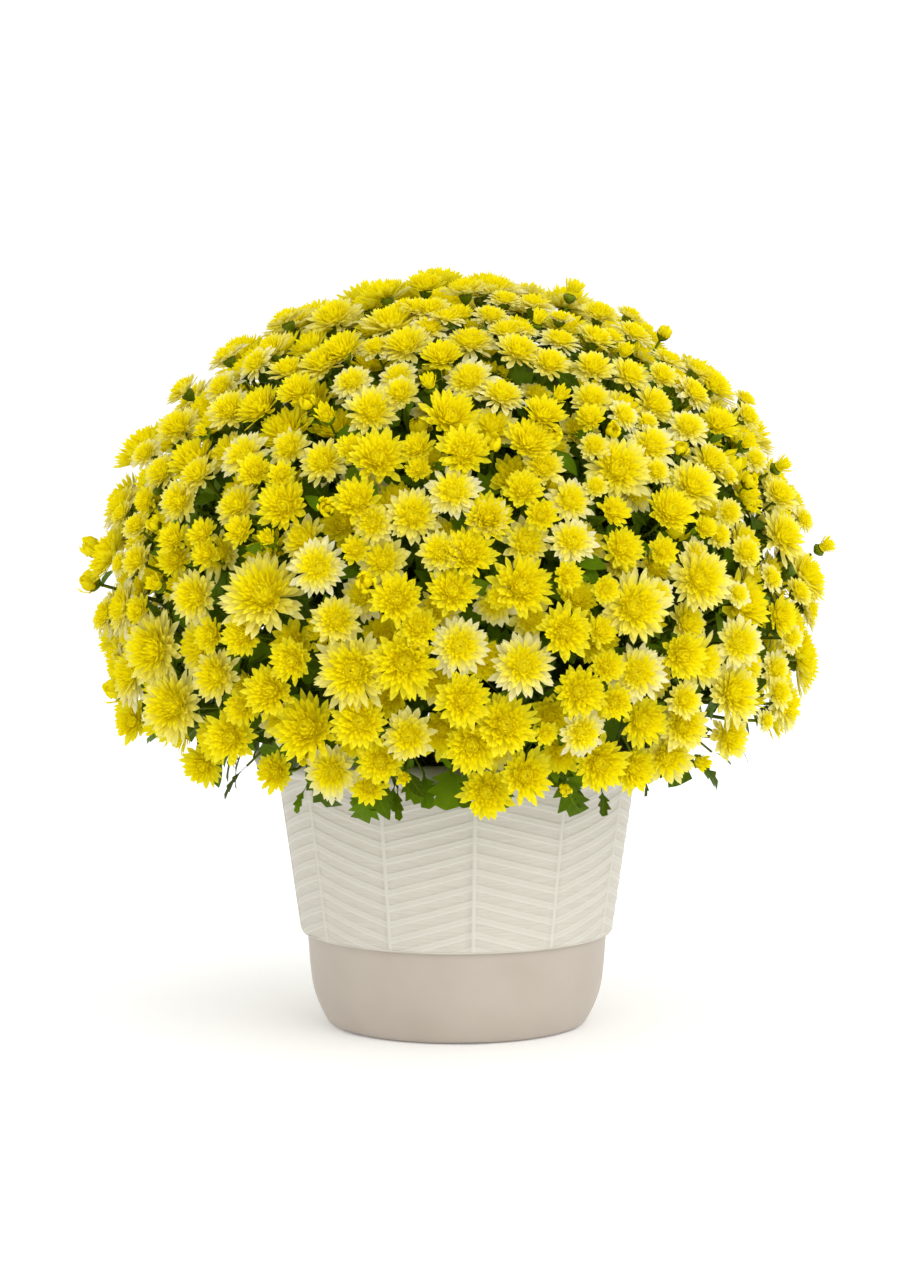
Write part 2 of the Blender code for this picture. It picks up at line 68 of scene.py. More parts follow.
# Across one pitch of the slats, upwards: share of the pitch, rise in mm, brightness of the wash,
# which is thin paint and painted shade in the recesses, and paint and painted highlight on edges
SLAT_SECTION = (
    (0.00, -0.18, 0.30), (0.04, 0.22, 1.00), (0.09, 0.26, 0.96), (0.15, 0.10, 0.56),
    (0.32, 0.08, 0.50), (0.37, 0.20, 0.86), (0.41, 0.18, 0.86), (0.45, -0.18, 0.26),
    (0.60, -0.22, 0.26), (0.85, -0.20, 0.34),
)
BOWL = (
    (0.0930, 0.0000), (0.0955, 0.0008), (0.0999, 0.0037), (0.1060, 0.0156), (0.1101, 0.0280),
    (0.1120, 0.0405), (0.1131, 0.0530), (0.1139, 0.0640), (0.1146, 0.0709),
)
STEP = (
    (0.1147, 0.0716), (0.1158, 0.0711), (0.1171, 0.0709), (0.1181, 0.0712), (0.1187, 0.0719),
)
LIP = (
    (0.1376, 0.1984), (0.1392, 0.1981), (0.1435, 0.1969), (0.1480, 0.1966), (0.1511, 0.1974),
    (0.1533, 0.1993), (0.1543, 0.2022), (0.1541, 0.2052), (0.1529, 0.2083), (0.1506, 0.2108),
    (0.1475, 0.2125), (0.1440, 0.2130), (0.1405, 0.2125), (0.1375, 0.2110), (0.1356, 0.2085),
    (0.1345, 0.2045),
)
INSIDE_STEPS = 2
INSIDE = (
    (0.1335, 0.1980), (0.1250, 0.1380), (0.1167, 0.0820), (0.1140, 0.0735), (0.1116, 0.0700),
    (0.1090, 0.0405), (0.1030, 0.0170), (0.0950, 0.0078), (0.0880, 0.0070),
)
FOOT = ((0.0870, 0.0040), (0.0871, 0.0003), (0.0878, 0.0000))
NOTCHES = 6
NOTCH_TURN = math.radians(6.0)
NOTCH_HALF = 0.0100
NOTCH_EASE = 0.0030
NOTCH_HEIGHT = 0.0028
STANDING_EDGE = 0.0012
BOWL_STEPS = 4
BASE_LEVEL = (0.0040, 0.0070)
BASE_RADIUS = 0.0878
BASE_SIDES = 96
DRAIN_HOLES = 6
DRAIN_RADIUS = 0.006
DRAIN_CIRCLE = 0.060
DRAIN_SIDES = 24
# Brightness of the cream wash, on a rib's side and more at its crest, and on level rows; the
# brighter crest is partly paint and partly painted highlight
RIB_WASH_AND_SHADE, RIB_CREST_WASH_AND_HIGHLIGHT = 0.2, 0.7
# The step under the collar has a low wash: thin paint, and painted shade for the shadow under its edge
BOWL_WASH, STEP_WASH_AND_SHADE, LIP_WASH, INSIDE_WASH = 0.5, 0.30, 0.75, 0.3


def linear(code):
    """An sRGB hex colour as linear red, green, blue and alpha."""
    parts = [int(code[k:k + 2], 16) / 255.0 for k in (0, 2, 4)]
    return (*(p / 12.92 if p <= 0.04045 else ((p + 0.055) / 1.055) ** 2.4 for p in parts), 1.0)


def new_finish(name):
    """A material and its node tree, whose Principled BSDF is ready to be set."""
    made = bpy.data.materials.new(name)
    made.use_nodes = True
    return made, made.node_tree, made.node_tree.nodes["Principled BSDF"].inputs


def join(tree, value, socket):
    """Fills a socket with a node's first output, with another socket or with a plain value."""
    if isinstance(value, bpy.types.Node):
        value = value.outputs[0]
    if isinstance(value, bpy.types.NodeSocket):
        tree.links.new(value, socket)
    else:
        socket.default_value = value


def add_node(tree, kind, joins=None, **settings):
    """Adds a node, sets its settings and fills its inputs."""
    made = tree.nodes.new("ShaderNode" + kind)
    for name, value in settings.items():
        setattr(made, name, value)
    for key, value in (joins or {}).items():
        join(tree, value, made.inputs[key])
    return made


def set_ramp(ramp, stops):
    """Gives a colour ramp its stops, as (place, sRGB hex colour)."""
    elements = ramp.color_ramp.elements
    while len(elements) < len(stops):
        elements.new(0.5)
    for element, (place, code) in zip(elements, stops):
        element.position = place
        element.color = linear(code)


def each_mm(size):
    """The scale of a pattern whose features are so many millimetres across."""
    return 1.0 / (MM * size)


def cloudy_colour(tree, size, detail, stops, **more):
    """Noise of so many millimetres in the object's own space, and a colour that follows it."""
    place = add_node(tree, "TexCoord").outputs["Object"]
    cloud = add_node(
        tree, "TexNoise", {"Vector": place, "Scale": each_mm(size), "Detail": detail, **more})
    colour = add_node(tree, "ValToRGB", {"Fac": cloud})
    set_ramp(colour, stops)
    return place, cloud, colour


def set_surface(tree, shader, colour, roughness, ior=1.5, relief=None):
    """Sets colour, roughness and IOR, and relief as (height, strength, depth in millimetres)."""
    join(tree, colour, shader["Base Color"])
    if relief:
        height, strength, deep = relief
        bump = add_node(tree, "Bump", {"Height": height, "Strength": strength, "Distance": deep * MM})
        join(tree, bump, shader["Normal"])
    shader["Roughness"].default_value = roughness
    shader["IOR"].default_value = ior


def make_piece(name, points, quads, finishes, finish_of=None, facts=None):
    """A smooth mesh of four-sided faces, with one point attribute for each of its facts."""
    mesh = bpy.data.meshes.new(name)
    mesh.vertices.add(len(points))
    mesh.vertices.foreach_set("co", np.asarray(points, np.float32).ravel())
    mesh.loops.add(quads.size)
    mesh.loops.foreach_set("vertex_index", np.asarray(quads, np.int32).ravel())
    mesh.polygons.add(len(quads))
    mesh.polygons.foreach_set("loop_start", np.arange(0, quads.size, 4, dtype=np.int32))
    for fact, values in (facts or {}).items():
        kind = "FLOAT_VECTOR" if values.ndim == 2 else "FLOAT"
        layer = mesh.attributes.new(fact, kind, "POINT")
        layer.data.foreach_set("vector" if values.ndim == 2 else "value", values.ravel())
    for finish in finishes:
        mesh.materials.append(finish)
    if finish_of is not None:
        mesh.polygons.foreach_set("material_index", np.asarray(finish_of, np.int32))
    mesh.update(calc_edges=True)
    mesh.validate()
    mesh.shade_smooth()
    piece = bpy.data.objects.new(name, mesh)
    bpy.context.scene.collection.objects.link(piece)
    return piece


def grid_quads(rows, columns, closed):
    """The faces of a grid of points, row by row, closed round on itself or not."""
    index = np.arange(rows * columns).reshape(rows, columns)
    after = np.roll(index, -1, axis=1)
    if not closed:
        index, after = index[:, :-1], after[:, :-1]
    return np.stack([index[:-1], after[:-1], after[1:], index[1:]], axis=-1).reshape(-1, 4)


def smooth_line(points, steps):
    """A curve through points, with so many steps from each to the next."""
    points = np.asarray(points, float)
    ends = np.vstack([2 * points[0] - points[1], points, 2 * points[-1] - points[-2]])
    line = []
    for a, b, c, d in zip(ends, ends[1:], ends[2:], ends[3:]):
        for t in np.arange(steps) / steps:
            line.append(
                b + 0.5 * t * (c - a)
                + t**2 * (a - 2.5 * b + 2.0 * c - 0.5 * d)
                + t**3 * (1.5 * (b - c) + 0.5 * (d - a))
            )
    return np.array(line + [points[-1]])


def pot_columns():
    """Turns from the front to each column of points, and each one's share of a rib's rise."""
    panel = math.tau / RIBS
    rib = RIB_HALF / COLLAR_TOP[0]
    across = [(place * rib, share) for place, share in RIB_SECTION]
    across += [(t, 0.0) for t in np.linspace(rib, panel - rib, PANEL_COLUMNS, endpoint=False)]
    turns = [RIB_TURN + panel * k + turn for k in range(RIBS) for turn, _ in across]
    return np.array(turns), np.array([share for _ in range(RIBS) for _, share in across])


def collar_rows(turns, rib_share):
    """Radius, height and wash of the collar's rows, which run in zigzags along the slats.
    The wash is partly paint, partly painted highlight on edges and painted shade in recesses.
    """
    panel = math.tau / RIBS
    from_rib = (turns - RIB_TURN) / panel
    fold = np.abs(from_rib - 2.0 * np.round(from_rib / 2.0))
    mean_radius = 0.5 * (COLLAR_FOOT[0] + COLLAR_TOP[0])
    fall = fold * panel * mean_radius * SLAT_SLOPE
    height = COLLAR_TOP[1] - COLLAR_FOOT[1]
    first = math.floor((COLLAR_FOOT[1] - SLAT_AT_RIB) / SLAT_PITCH)
    count = math.ceil((height + fall.max()) / SLAT_PITCH) + 2
    radii, heights, washes_and_shade = [], [], []
    for k in range(first, first + count):
        for share, rise, wash_and_shade in SLAT_SECTION:
            level = SLAT_AT_RIB + (k + share) * SLAT_PITCH - fall
            inside = (level > COLLAR_FOOT[1]) & (level < COLLAR_TOP[1])
            level = np.clip(level, COLLAR_FOOT[1], COLLAR_TOP[1])
            cone = COLLAR_FOOT[0] + (level - COLLAR_FOOT[1]) / height * (COLLAR_TOP[0] - COLLAR_FOOT[0])
            on_rib = rib_share > 0.0
            lift = np.where(on_rib, np.maximum(RIB_RISE * rib_share, MM * rise), MM * rise)
            radii.append(cone + np.where(inside, lift, 0.0))
            heights.append(level)
            # A rib's wash brightens from its sides to its crest: partly paint, partly painted highlight
            washes_and_shade.append(np.where(on_rib, RIB_WASH_AND_SHADE + RIB_CREST_WASH_AND_HIGHLIGHT * rib_share, wash_and_shade))
    return np.array(radii), np.array(heights), np.array(washes_and_shade)


def level_rows(profile, columns, wash_and_shade):
    """Rows of the pot that are round and level, from (radius, height) points."""
    profile = np.asarray(profile, float)
    ones = np.ones((1, columns))
    return profile[:, :1] * ones, profile[:, 1:] * ones, np.full((len(profile), columns), wash_and_shade)


def cut_notches(heights, radii, turns):
    """Lifts the foot ring's standing face in its drainage notches."""
    step = math.tau / NOTCHES
    from_notch = np.abs((turns - NOTCH_TURN + step / 2.0) % step - step / 2.0)
    share = np.clip((NOTCH_HALF - from_notch * radii) / NOTCH_EASE + 0.5, 0.0, 1.0)
    heights += np.where(heights < STANDING_EDGE, share * (NOTCH_HEIGHT - heights), 0.0)


def pot_skin():
    """The pot's whole skin as one grid, from the foot ring up, over the lip and down inside."""
    turns, rib_share = pot_columns()
    columns = len(turns)
    parts = [
        level_rows(np.vstack([FOOT, smooth_line(BOWL, BOWL_STEPS)]), columns, BOWL_WASH),
        level_rows(STEP, columns, STEP_WASH_AND_SHADE),
        collar_rows(turns, rib_share),
        level_rows(LIP, columns, LIP_WASH),
        level_rows(smooth_line(INSIDE, INSIDE_STEPS), columns, INSIDE_WASH),
    ]
    radii, heights, washes_and_shade = (np.vstack(columns_of) for columns_of in zip(*parts))
    cut_notches(heights, radii, turns)
    points = np.stack([radii * np.sin(turns), -radii * np.cos(turns), heights], axis=-1)
    layout = np.stack([turns * radii, heights, washes_and_shade], axis=-1)
    painted = len(parts[0][0])
    quads = grid_quads(len(radii), columns, closed=True)
    finish_of = (np.arange(len(quads)) // columns >= painted - 1).astype(int)
    return points.reshape(-1, 3), quads, finish_of, layout.reshape(-1, 3)


def pot_base(finish):
    """The pot's floor, a disc with drain holes, cut as one flat filled outline."""
    outline = bpy.data.curves.new("pot_base", "CURVE")
    outline.dimensions = "2D"
    outline.fill_mode = "BOTH"
    circles = [(0.0, 0.0, BASE_RADIUS, BASE_SIDES)]
    for k in range(DRAIN_HOLES):
        turn = NOTCH_TURN + math.tau * k / DRAIN_HOLES
        across, along = DRAIN_CIRCLE * math.sin(turn), -DRAIN_CIRCLE * math.cos(turn)
        circles.append((across, along, DRAIN_RADIUS, DRAIN_SIDES))
    for across, along, radius, sides in circles:
        spline = outline.splines.new("POLY")
        spline.points.add(sides - 1)
        spline.use_cyclic_u = True
        for k, point in enumerate(spline.points):
            turn = math.tau * k / sides
            point.co = (across + radius * math.cos(turn), along + radius * math.sin(turn), 0.0, 1.0)
    outline.extrude = 0.5 * (BASE_LEVEL[1] - BASE_LEVEL[0])
    guide = bpy.data.objects.new("pot_base_outline", outline)
    bpy.context.scene.collection.objects.link(guide)
    depsgraph = bpy.context.evaluated_depsgraph_get()
    mesh = bpy.data.meshes.new_from_object(guide.evaluated_get(depsgraph))
    bpy.data.objects.remove(guide)
    mesh.transform(Matrix.Translation((0.0, 0.0, 0.5 * sum(BASE_LEVEL))))
    mesh.materials.clear()
    mesh.materials.append(finish)
    base = bpy.data.objects.new("pot_base", mesh)
    bpy.context.scene.collection.objects.link(base)
    return base


def moulded_polypropylene():
    """Satin taupe plastic. It is one colour all through, with the faint cloudy flow of moulding."""
    finish, tree, shader = new_finish("moulded_taupe_polypropylene")
    place, _, flow = cloudy_colour(tree, 45.0, 2.0, ((0.30, "AEA397"), (0.70, "B4AA9E")))
    grain = add_node(tree, "TexNoise", {"Vector": place, "Scale": each_mm(1.2), "Detail": 3.0})
    set_surface(tree, shader, flow, roughness=0.46, ior=1.49, relief=(grain, 0.12, 0.2))
    return finish


def washed_paint():
    """Matt cream paint wiped over the plastic: palest on edges, brushed level in the recesses.
    The pale edges are partly painted highlight, and the dark recesses partly painted shade.
    """
    finish, tree, shader = new_finish("wiped_cream_paint")
    layout = add_node(tree, "Attribute", attribute_name="layout").outputs["Vector"]
    parts = add_node(tree, "SeparateXYZ", {"Vector": layout})
    # Brush marks, about 25 mm long and 0.9 mm from one to the next
    stretched = add_node(
        tree, "VectorMath", {0: layout, 1: (each_mm(25.0), each_mm(0.9), 0.0)}, operation="MULTIPLY")
    brushed = add_node(tree, "TexNoise", {"Vector": stretched, "Scale": 1.0, "Detail": 3.0})
    recess = add_node(tree, "Math", {0: 1.0, 1: parts.outputs["Z"]}, operation="SUBTRACT")
    mark = add_node(tree, "MapRange", {"Value": brushed, 1: 0.3, 2: 0.7, 3: -0.50, 4: 0.50})
    shift = add_node(tree, "Math", {0: mark, 1: recess}, operation="MULTIPLY")
    brushed_wash_and_shade = add_node(tree, "Math", {0: parts.outputs["Z"], 1: shift}, operation="ADD")
    # Pale on raised edges and dark in recesses: partly paint, partly painted highlight and shade
    wash_and_shade = add_node(tree, "ValToRGB", {"Fac": brushed_wash_and_shade})
    set_ramp(wash_and_shade, ((0.0, "BDB7AB"), (0.30, "C4BFB3"), (0.62, "C9C5B9"), (1.0, "D0CDC2")))
    set_surface(tree, shader, wash_and_shade, roughness=0.62, ior=1.49, relief=(brushed, 0.35, 0.4))
    return finish


taupe = moulded_polypropylene()
points, quads, finish_of, layout = pot_skin()
pot = make_piece("pot_shell", points, quads, (taupe, washed_paint()), finish_of, {"layout": layout})
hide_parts("pot")
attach(pot, "root")
base = pot_base(taupe)
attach(base, "root")


# Potting mix
# Moist peat with bark, settled to 25 mm below the lip. It is dark brown and crumbly, and
# scattered with white grains of perlite.
MIX_OUTSIDE = (
    (0.0930, 0.0076), (0.1018, 0.0172), (0.1076, 0.0402), (0.1106, 0.0705), (0.1157, 0.0840),
    (0.1302, 0.1830),
)
MIX_TOP = 0.1860
MIX_COLUMNS = 120
MIX_RINGS = 44
MIX_INNER = 0.001
MIX_RINGS_FROM, MIX_RINGS_TO = 0.1290, 0.002
CRUMB_SIZE = 0.007
CRUMB_RISE = 0.0035


def turned_skin(profile, columns, roughen):
    """A skin turned about the pot's axis, whose points are roughened one by one."""
    points = []
    for radius, height in profile:
        for turn in np.arange(columns) * math.tau / columns:
            point = Vector((radius * math.sin(turn), -radius * math.cos(turn), height))
            points.append(roughen(point, radius))
    return np.array(points), grid_quads(len(profile), columns, closed=True)


def crumbled(point, _):
    """A point of the mix, whose top is crumbly."""
    if point.z >= MIX_TOP:
        crumbs = noise.fractal(point / CRUMB_SIZE, 0.8, 2.1, 4)
        point.z += CRUMB_RISE * (0.7 * crumbs - 0.35)
    return point


def moist_peat():
    """Dark damp fibre that takes the light dully, with bark flakes and grains of perlite."""
    finish, tree, shader = new_finish("moist_peat_with_perlite")
    place, crumb, earth = cloudy_colour(
        tree, 4.0, 6.0, ((0.25, "1E140D"), (0.55, "3A2A1D"), (0.80, "5A4430")))
    grains = add_node(tree, "TexVoronoi", {"Vector": place, "Scale": each_mm(6.0)})
    white = add_node(tree, "Math", {0: grains, 1: 0.13}, operation="LESS_THAN")
    mixed = add_node(tree, "Mix", {0: white, 6: earth, 7: linear("DAD5CB")}, data_type="RGBA")
    set_surface(tree, shader, mixed.outputs[2], roughness=0.95, relief=(crumb, 0.9, 2.0))
    return finish


mix_profile = [(MIX_INNER, MIX_OUTSIDE[0][1]), *MIX_OUTSIDE]
mix_profile += [(radius, MIX_TOP) for radius in np.linspace(MIX_RINGS_FROM, MIX_RINGS_TO, MIX_RINGS)]
mix = make_piece("peat_mix", *turned_skin(mix_profile, MIX_COLUMNS, crumbled), (moist_peat(),))
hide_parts("potting_mix")
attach(mix, "root")


# Crown
# The woody base of the plant, half sunk in the mix: a gnarled brown mound of old stem
# bases, grown together, with the root plug below it.
CROWN_STEPS = 3
CROWN_PROFILE = (
    (0.0010, 0.1262), (0.0278, 0.1264), (0.0315, 0.1560), (0.0338, 0.1855), (0.0520, 0.1864),
    (0.0516, 0.1886), (0.0500, 0.1908), (0.0440, 0.1919), (0.0330, 0.1922), (0.0220, 0.1922),
    (0.0110, 0.1924), (0.0010, 0.1925),
)
CROWN_COLUMNS = 96
KNOT_SIZE = 0.011
KNOT_RISE = 0.0016
KNOT_HIGHEST = 0.4
FOLD_SHARE = 0.03
CROWN_MIDDLE = 0.004


def knotted(point, radius):
    """A point of the crown, which has knots and folds above the mix."""
    height = point.z
    if height > MIX_TOP:
        knots = noise.fractal(point / KNOT_SIZE, 0.9, 2.0, 3)
        point *= 1.0 - FOLD_SHARE * abs(knots)
        point.z = height + KNOT_RISE * min(knots, KNOT_HIGHEST) * (radius > CROWN_MIDDLE)
    return point


def furrowed_bark():
    """Dry woody stem bark: grey-brown, matt, split into short furrows."""
    finish, tree, shader = new_finish("furrowed_stem_bark")
    _, furrow, bark = cloudy_colour(
        tree, 3.0, 5.0, ((0.25, "3C2F20"), (0.55, "6A5639"), (0.80, "8B7A55")), Distortion=1.2)
    set_surface(tree, shader, bark, roughness=0.85, relief=(furrow, 0.8, 1.2))
    return finish


crown_profile = smooth_line(CROWN_PROFILE, CROWN_STEPS)
crown = make_piece(
    "woody_crown", *turned_skin(crown_profile, CROWN_COLUMNS, knotted), (furrowed_bark(),))
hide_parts("crown")
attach(crown, "root")


# Shoots
# Twenty-two soft green stems that rise from the crown and fan out under the flowers. Each
# carries lobed chrysanthemum leaves all the way up, which are dark above and paler beneath
# on the real plant, but have one colour on both faces here.
DOME_CENTRE = Vector((0.0, 0.0, 0.330))
DOME_RADIUS = 0.273
DOME_UP = 0.243
DOME_DOWN = 0.170
UNDERSIDE_POWER = 3.0
LOWEST_ANGLE = math.radians(124.0)
SPRAYS = 22
GOLDEN_ANGLE = math.pi * (3.0 - math.sqrt(5.0))
HUB_SHARE = 0.55
STEM_FOOT = 0.1923
STEM_FOOT_RING = 0.046
STEM_BEND = 0.040
STEM_BEND_LEVEL = 0.62
STEM_BEND_RISE = 0.022
STEM_RADII = (0.0033, 0.0024)
STEM_STEPS = 14
STEM_SIDES = 8
STEM_LEAVES = 26
# Where the lowest leaf stands along its stem, and how far on the others go
LOWEST_LEAF, LEAFY_SHARE = 0.34, 0.66
LEAF_LENGTHS = (0.048, 0.066)
LEAF_SHRINK = 0.15
LEAF_SLIMNESS = (0.27, 0.34)
LEAF_REACH = 0.35
VARY_LEAF_TURN = 0.3
# Least and random extra: angle to the stem's side, curl, cup; and the whole range of twist
LEAF_LIFT, LEAF_CURL, LEAF_CUP, LEAF_TWIST = (0.25, 0.3), (-0.5, -0.9), (0.10, 0.35), 0.7
# Leaves that hang over the lip, as the front view shows them: base across and down, tip
# across and down, half width, in pixels, and how far out from the pot's axis they hang
SEEN_RIM_LEAVES = (
    (307, 787, 302, 813, 5, 0.166), (366, 793, 352, 805, 6, 0.160), (385, 790, 374, 811, 9, 0.163),
    (395, 785, 392, 808, 7, 0.165), (398, 788, 403, 820, 6, 0.168), (402, 778, 424, 801, 11, 0.166),
    (424, 772, 432, 808, 13, 0.160), (452, 762, 446, 809, 20, 0.168), (470, 772, 463, 806, 13, 0.164),
    (431, 739, 451, 766, 5, 0.205), (566, 772, 579, 806, 6, 0.170), (556, 742, 551, 784, 16, 0.176),
    (566, 748, 572, 786, 15, 0.170), (601, 788, 598, 815, 9, 0.166), (640, 772, 634, 797, 5, 0.160),
    (692, 764, 690, 790, 9, 0.178), (712, 752, 726, 768, 7, 0.190), (733, 744, 742, 765, 6, 0.200),
    (247, 766, 233, 797, 6, 0.190), (186, 728, 163, 742, 5, 0.225), (295, 760, 291, 781, 9, 0.164),
    (330, 778, 322, 798, 8, 0.160), (510, 786, 503, 806, 8, 0.160),
)
# The others: how far round from the front they start, and at each end how far out they are
# and how high
RIM_LEAVES = 44
RIM_LEAF_START = 1.20
RIM_LEAF_BASE = (0.158, 0.222, 0.232)
RIM_LEAF_TIP = (0.166, 0.182, 0.202)
RIM_LEAF_TIP_OUT = 0.004
RIM_LEAF_SLANT = 0.02
RIM_LEAF_HALF_WIDTHS = (0.006, 0.013)
RIM_LEAF_LENGTHENED = 1.12
# How much such a leaf points along its hang, outwards, and how much its face is turned up
RIM_LEAF_HANG, RIM_LEAF_OUTWARD, RIM_LEAF_FACE_UP = 0.9, 0.25, (0.0, 0.0, 0.2)
RIM_STALK_RADII = (0.0012, 0.0009)
RIM_STALK_ARCH = (0.0, 0.0, 0.012)
RIM_STALK_BEND = 0.6
RIM_STALK_STEPS, RIM_STALK_SIDES = 6, 5
WAX_SHEEN = "D4DC70"
VEINS = 6.0
VEIN_SWEEP = 0.16
# Leaf outline: share along, half width as a share of the leaf's, how far its edge sweeps forward
LEAF_OUTLINE = (
    (0.00, 0.090, 0.0), (0.16, 0.090, 0.0), (0.24, 0.20, 0.02), (0.36, 0.86, 0.09),
    (0.46, 0.46, 0.03), (0.62, 1.00, 0.10), (0.72, 0.52, 0.03), (0.86, 0.62, 0.06),
    (1.00, 0.06, 0.0),
)


def dome_level(point):
    """One on the dome of flowers, less inside it and more outside."""
    out = math.hypot(point.x, point.y) / DOME_RADIUS
    rise = point.z - DOME_CENTRE.z
    if rise > 0.0:
        return math.hypot(out, rise / DOME_UP)
    drop = -rise / DOME_DOWN
    return (out**UNDERSIDE_POWER + drop**UNDERSIDE_POWER) ** (1.0 / UNDERSIDE_POWER)


def dome_point(direction):
    return DOME_CENTRE + direction / dome_level(DOME_CENTRE + direction)


def hub_place(seed):
    return DOME_CENTRE + (dome_point(seed) - DOME_CENTRE) * HUB_SHARE


def direction_at(height, turn):
    """The direction of so much height, turned so far about the vertical."""
    out = math.sqrt(1.0 - height * height)
    return Vector((out * math.cos(turn), out * math.sin(turn), height))


def spiral_directions(count, lowest):
    """Directions spread evenly over the dome along a golden-angle spiral."""
    falls = [(1.0 - math.cos(lowest)) * (k + 0.5) / count for k in range(count)]
    return [direction_at(1.0 - fall, GOLDEN_ANGLE * k) for k, fall in enumerate(falls)]


def bent_line(start, bend, end, steps):
    """A curve from start to end that heads for bend at first."""
    shares = np.linspace(0.0, 1.0, steps + 1)[:, None]
    start, bend, end = np.array(start), np.array(bend), np.array(end)
    return start * (1 - shares) ** 2 + bend * (2 * shares * (1 - shares)) + end * shares**2


def stem_route(seed):
    """A shoot's main stem, from the crown to its spray's fork."""
    angle = math.acos(seed.z)
    share = angle / LOWEST_ANGLE
    away = Vector((seed.x, seed.y, 0.0)).normalized()
    foot_out = STEM_FOOT_RING * math.sin(angle / 2.0) / math.sin(LOWEST_ANGLE / 2.0)
    foot = away * foot_out + Vector((0, 0, STEM_FOOT))
    hub = hub_place(seed)
    bend_out = STEM_BEND * math.sin(share * math.pi / 2.0) + foot_out
    bend_height = foot.z + STEM_BEND_LEVEL * (hub.z - foot.z) + STEM_BEND_RISE * share
    bend = away * bend_out + Vector((0, 0, bend_height))
    return bent_line(foot, bend, hub, STEM_STEPS)


def unit(vectors):
    return vectors / np.linalg.norm(vectors, axis=-1, keepdims=True)


# A tube's sides are set out from a direction that its line doesn't follow
UPRIGHT_GUIDE, LEVEL_GUIDE, STEEP = (0.31, 0.17, 0.93), (0.94, 0.33, 0.08), 0.8


def tube(line, radii, sides):
    """The skin of a round stem along a line of points, as points and faces."""
    ahead = unit(np.gradient(line, axis=0))
    side = unit(np.cross(ahead, UPRIGHT_GUIDE if abs(ahead[0][2]) < STEEP else LEVEL_GUIDE))
    up = np.cross(side, ahead)
    turns = np.arange(sides) * math.tau / sides
    radii = np.linspace(radii[0], radii[1], len(line))[:, None, None]
    round_it = side[:, None] * np.cos(turns)[None, :, None] + up[:, None] * np.sin(turns)[None, :, None]
    points = line[:, None] + radii * round_it
    return points.reshape(-1, 3), grid_quads(len(line), sides, closed=True)


def flat_sheet(outline, across):
    """A flat leaf or petal: for each point its share along, its place across and its width."""
    rows = []
    for along, width, sweep in outline:
        rows += [(along + sweep * abs(u), u, width) for u in across]
    return np.array(rows), grid_quads(len(outline), len(across), closed=False)


def bent_sheets(
        sheet, finish, facts, roots, outs, faces, lengths, widths, lifts, curls, cups, rolls):
    """A part made of one bent copy of a flat sheet for each root.

    A sheet sets out at an angle of lift from its out direction towards its face direction,
    curls on by an angle of curl over its length, is cupped across, and is rolled on its
    own line. Angles are in radians, widths are half widths. Each point's three facts are its
    share along the sheet and the two that are given.
    """
    flat, sheet_quads = sheet
    along, across, wide = (flat[:, k][None, :] for k in range(3))
    lift, curl, cup, roll = (value[:, None] for value in (lifts, curls, cups, rolls))
    curl = np.where(np.abs(curl) < 0.02, 0.02, curl)
    turn = lift + curl * along
    level = lengths[:, None] * (np.sin(turn) - np.sin(lift)) / curl
    rise = lengths[:, None] * (np.cos(lift) - np.cos(turn)) / curl
    half = widths[:, None] * wide
    sideways = half * across * np.cos(roll)
    inward = half * (across * np.sin(roll) + cup * across**2)
    level = level - inward * np.sin(turn)
    rise = rise + inward * np.cos(turn)
    sides = np.cross(faces, outs)
    points = (
        roots[:, None] + level[..., None] * outs[:, None] + rise[..., None] * faces[:, None]
        + sideways[..., None] * sides[:, None]
    )
    first_points = (np.arange(len(roots)) * len(flat))[:, None, None]
    known = np.empty(points.shape)
    known[..., 0] = flat[:, 0]
    known[..., 1], known[..., 2] = facts
    quads = (sheet_quads[None] + first_points).reshape(-1, 4)
    return points.reshape(-1, 3), quads, finish, known.reshape(-1, 3)


def join_parts(parts):
    """Joins parts, each (points, quads, finish number or numbers, facts), into one."""
    points, quads, finish_of, facts, count = [], [], [], [], 0
    for part_points, part_quads, finish, part_facts in parts:
        points.append(part_points)
        quads.append(part_quads + count)
        finish_of.append(np.resize(finish, len(part_quads)))
        facts.append(part_facts)
        count += len(part_points)
    return np.vstack(points), np.vstack(quads), np.concatenate(finish_of), np.vstack(facts)


LEAF = flat_sheet(LEAF_OUTLINE, (-1.0, -0.5, 0.0, 0.5, 1.0))


def leaf_part(sheet, roots, outs, faces, lengths, widths, chance):
    """A part made of lobed leaves, each with its own droop, cup, twist and shade of green."""
    roots, outs, faces = (np.array(value, float) for value in (roots, outs, faces))
    outs = unit(outs)
    faces = unit(faces - outs * (faces * outs).sum(axis=1, keepdims=True))
    drawn = np.array([[chance.random() for _ in range(5)] for _ in roots])
    ranges = (LEAF_LIFT, LEAF_CURL, LEAF_CUP)
    bends = [least + extra * drawn[:, k] for k, (least, extra) in enumerate(ranges)]
    rolls = LEAF_TWIST * (drawn[:, 3] - 0.5)
    facts = (sheet[0][:, 1], drawn[:, 4:5])
    return bent_sheets(
        sheet, 1, facts, roots, outs, faces, np.array(lengths), np.array(widths), *bends, rolls)


def stem_part(line, radii, sides):
    """A part made of one stem or stalk."""
    points, quads = tube(line, radii, sides)
    return points, quads, 0, np.zeros((len(points), 3))


def soft_stem():
    """Young green stem: smooth skin with a faint bloom, slightly shiny, a little streaked."""
    finish, tree, shader = new_finish("soft_green_stem")
    streaks = ((0.25, "485600"), (0.55, "60720A"), (0.80, "7C8A26"))
    set_surface(tree, shader, cloudy_colour(tree, 10.0, 3.0, streaks)[2], roughness=0.5, ior=1.3)
    shader["Specular Tint"].default_value = linear(WAX_SHEEN)
    return finish


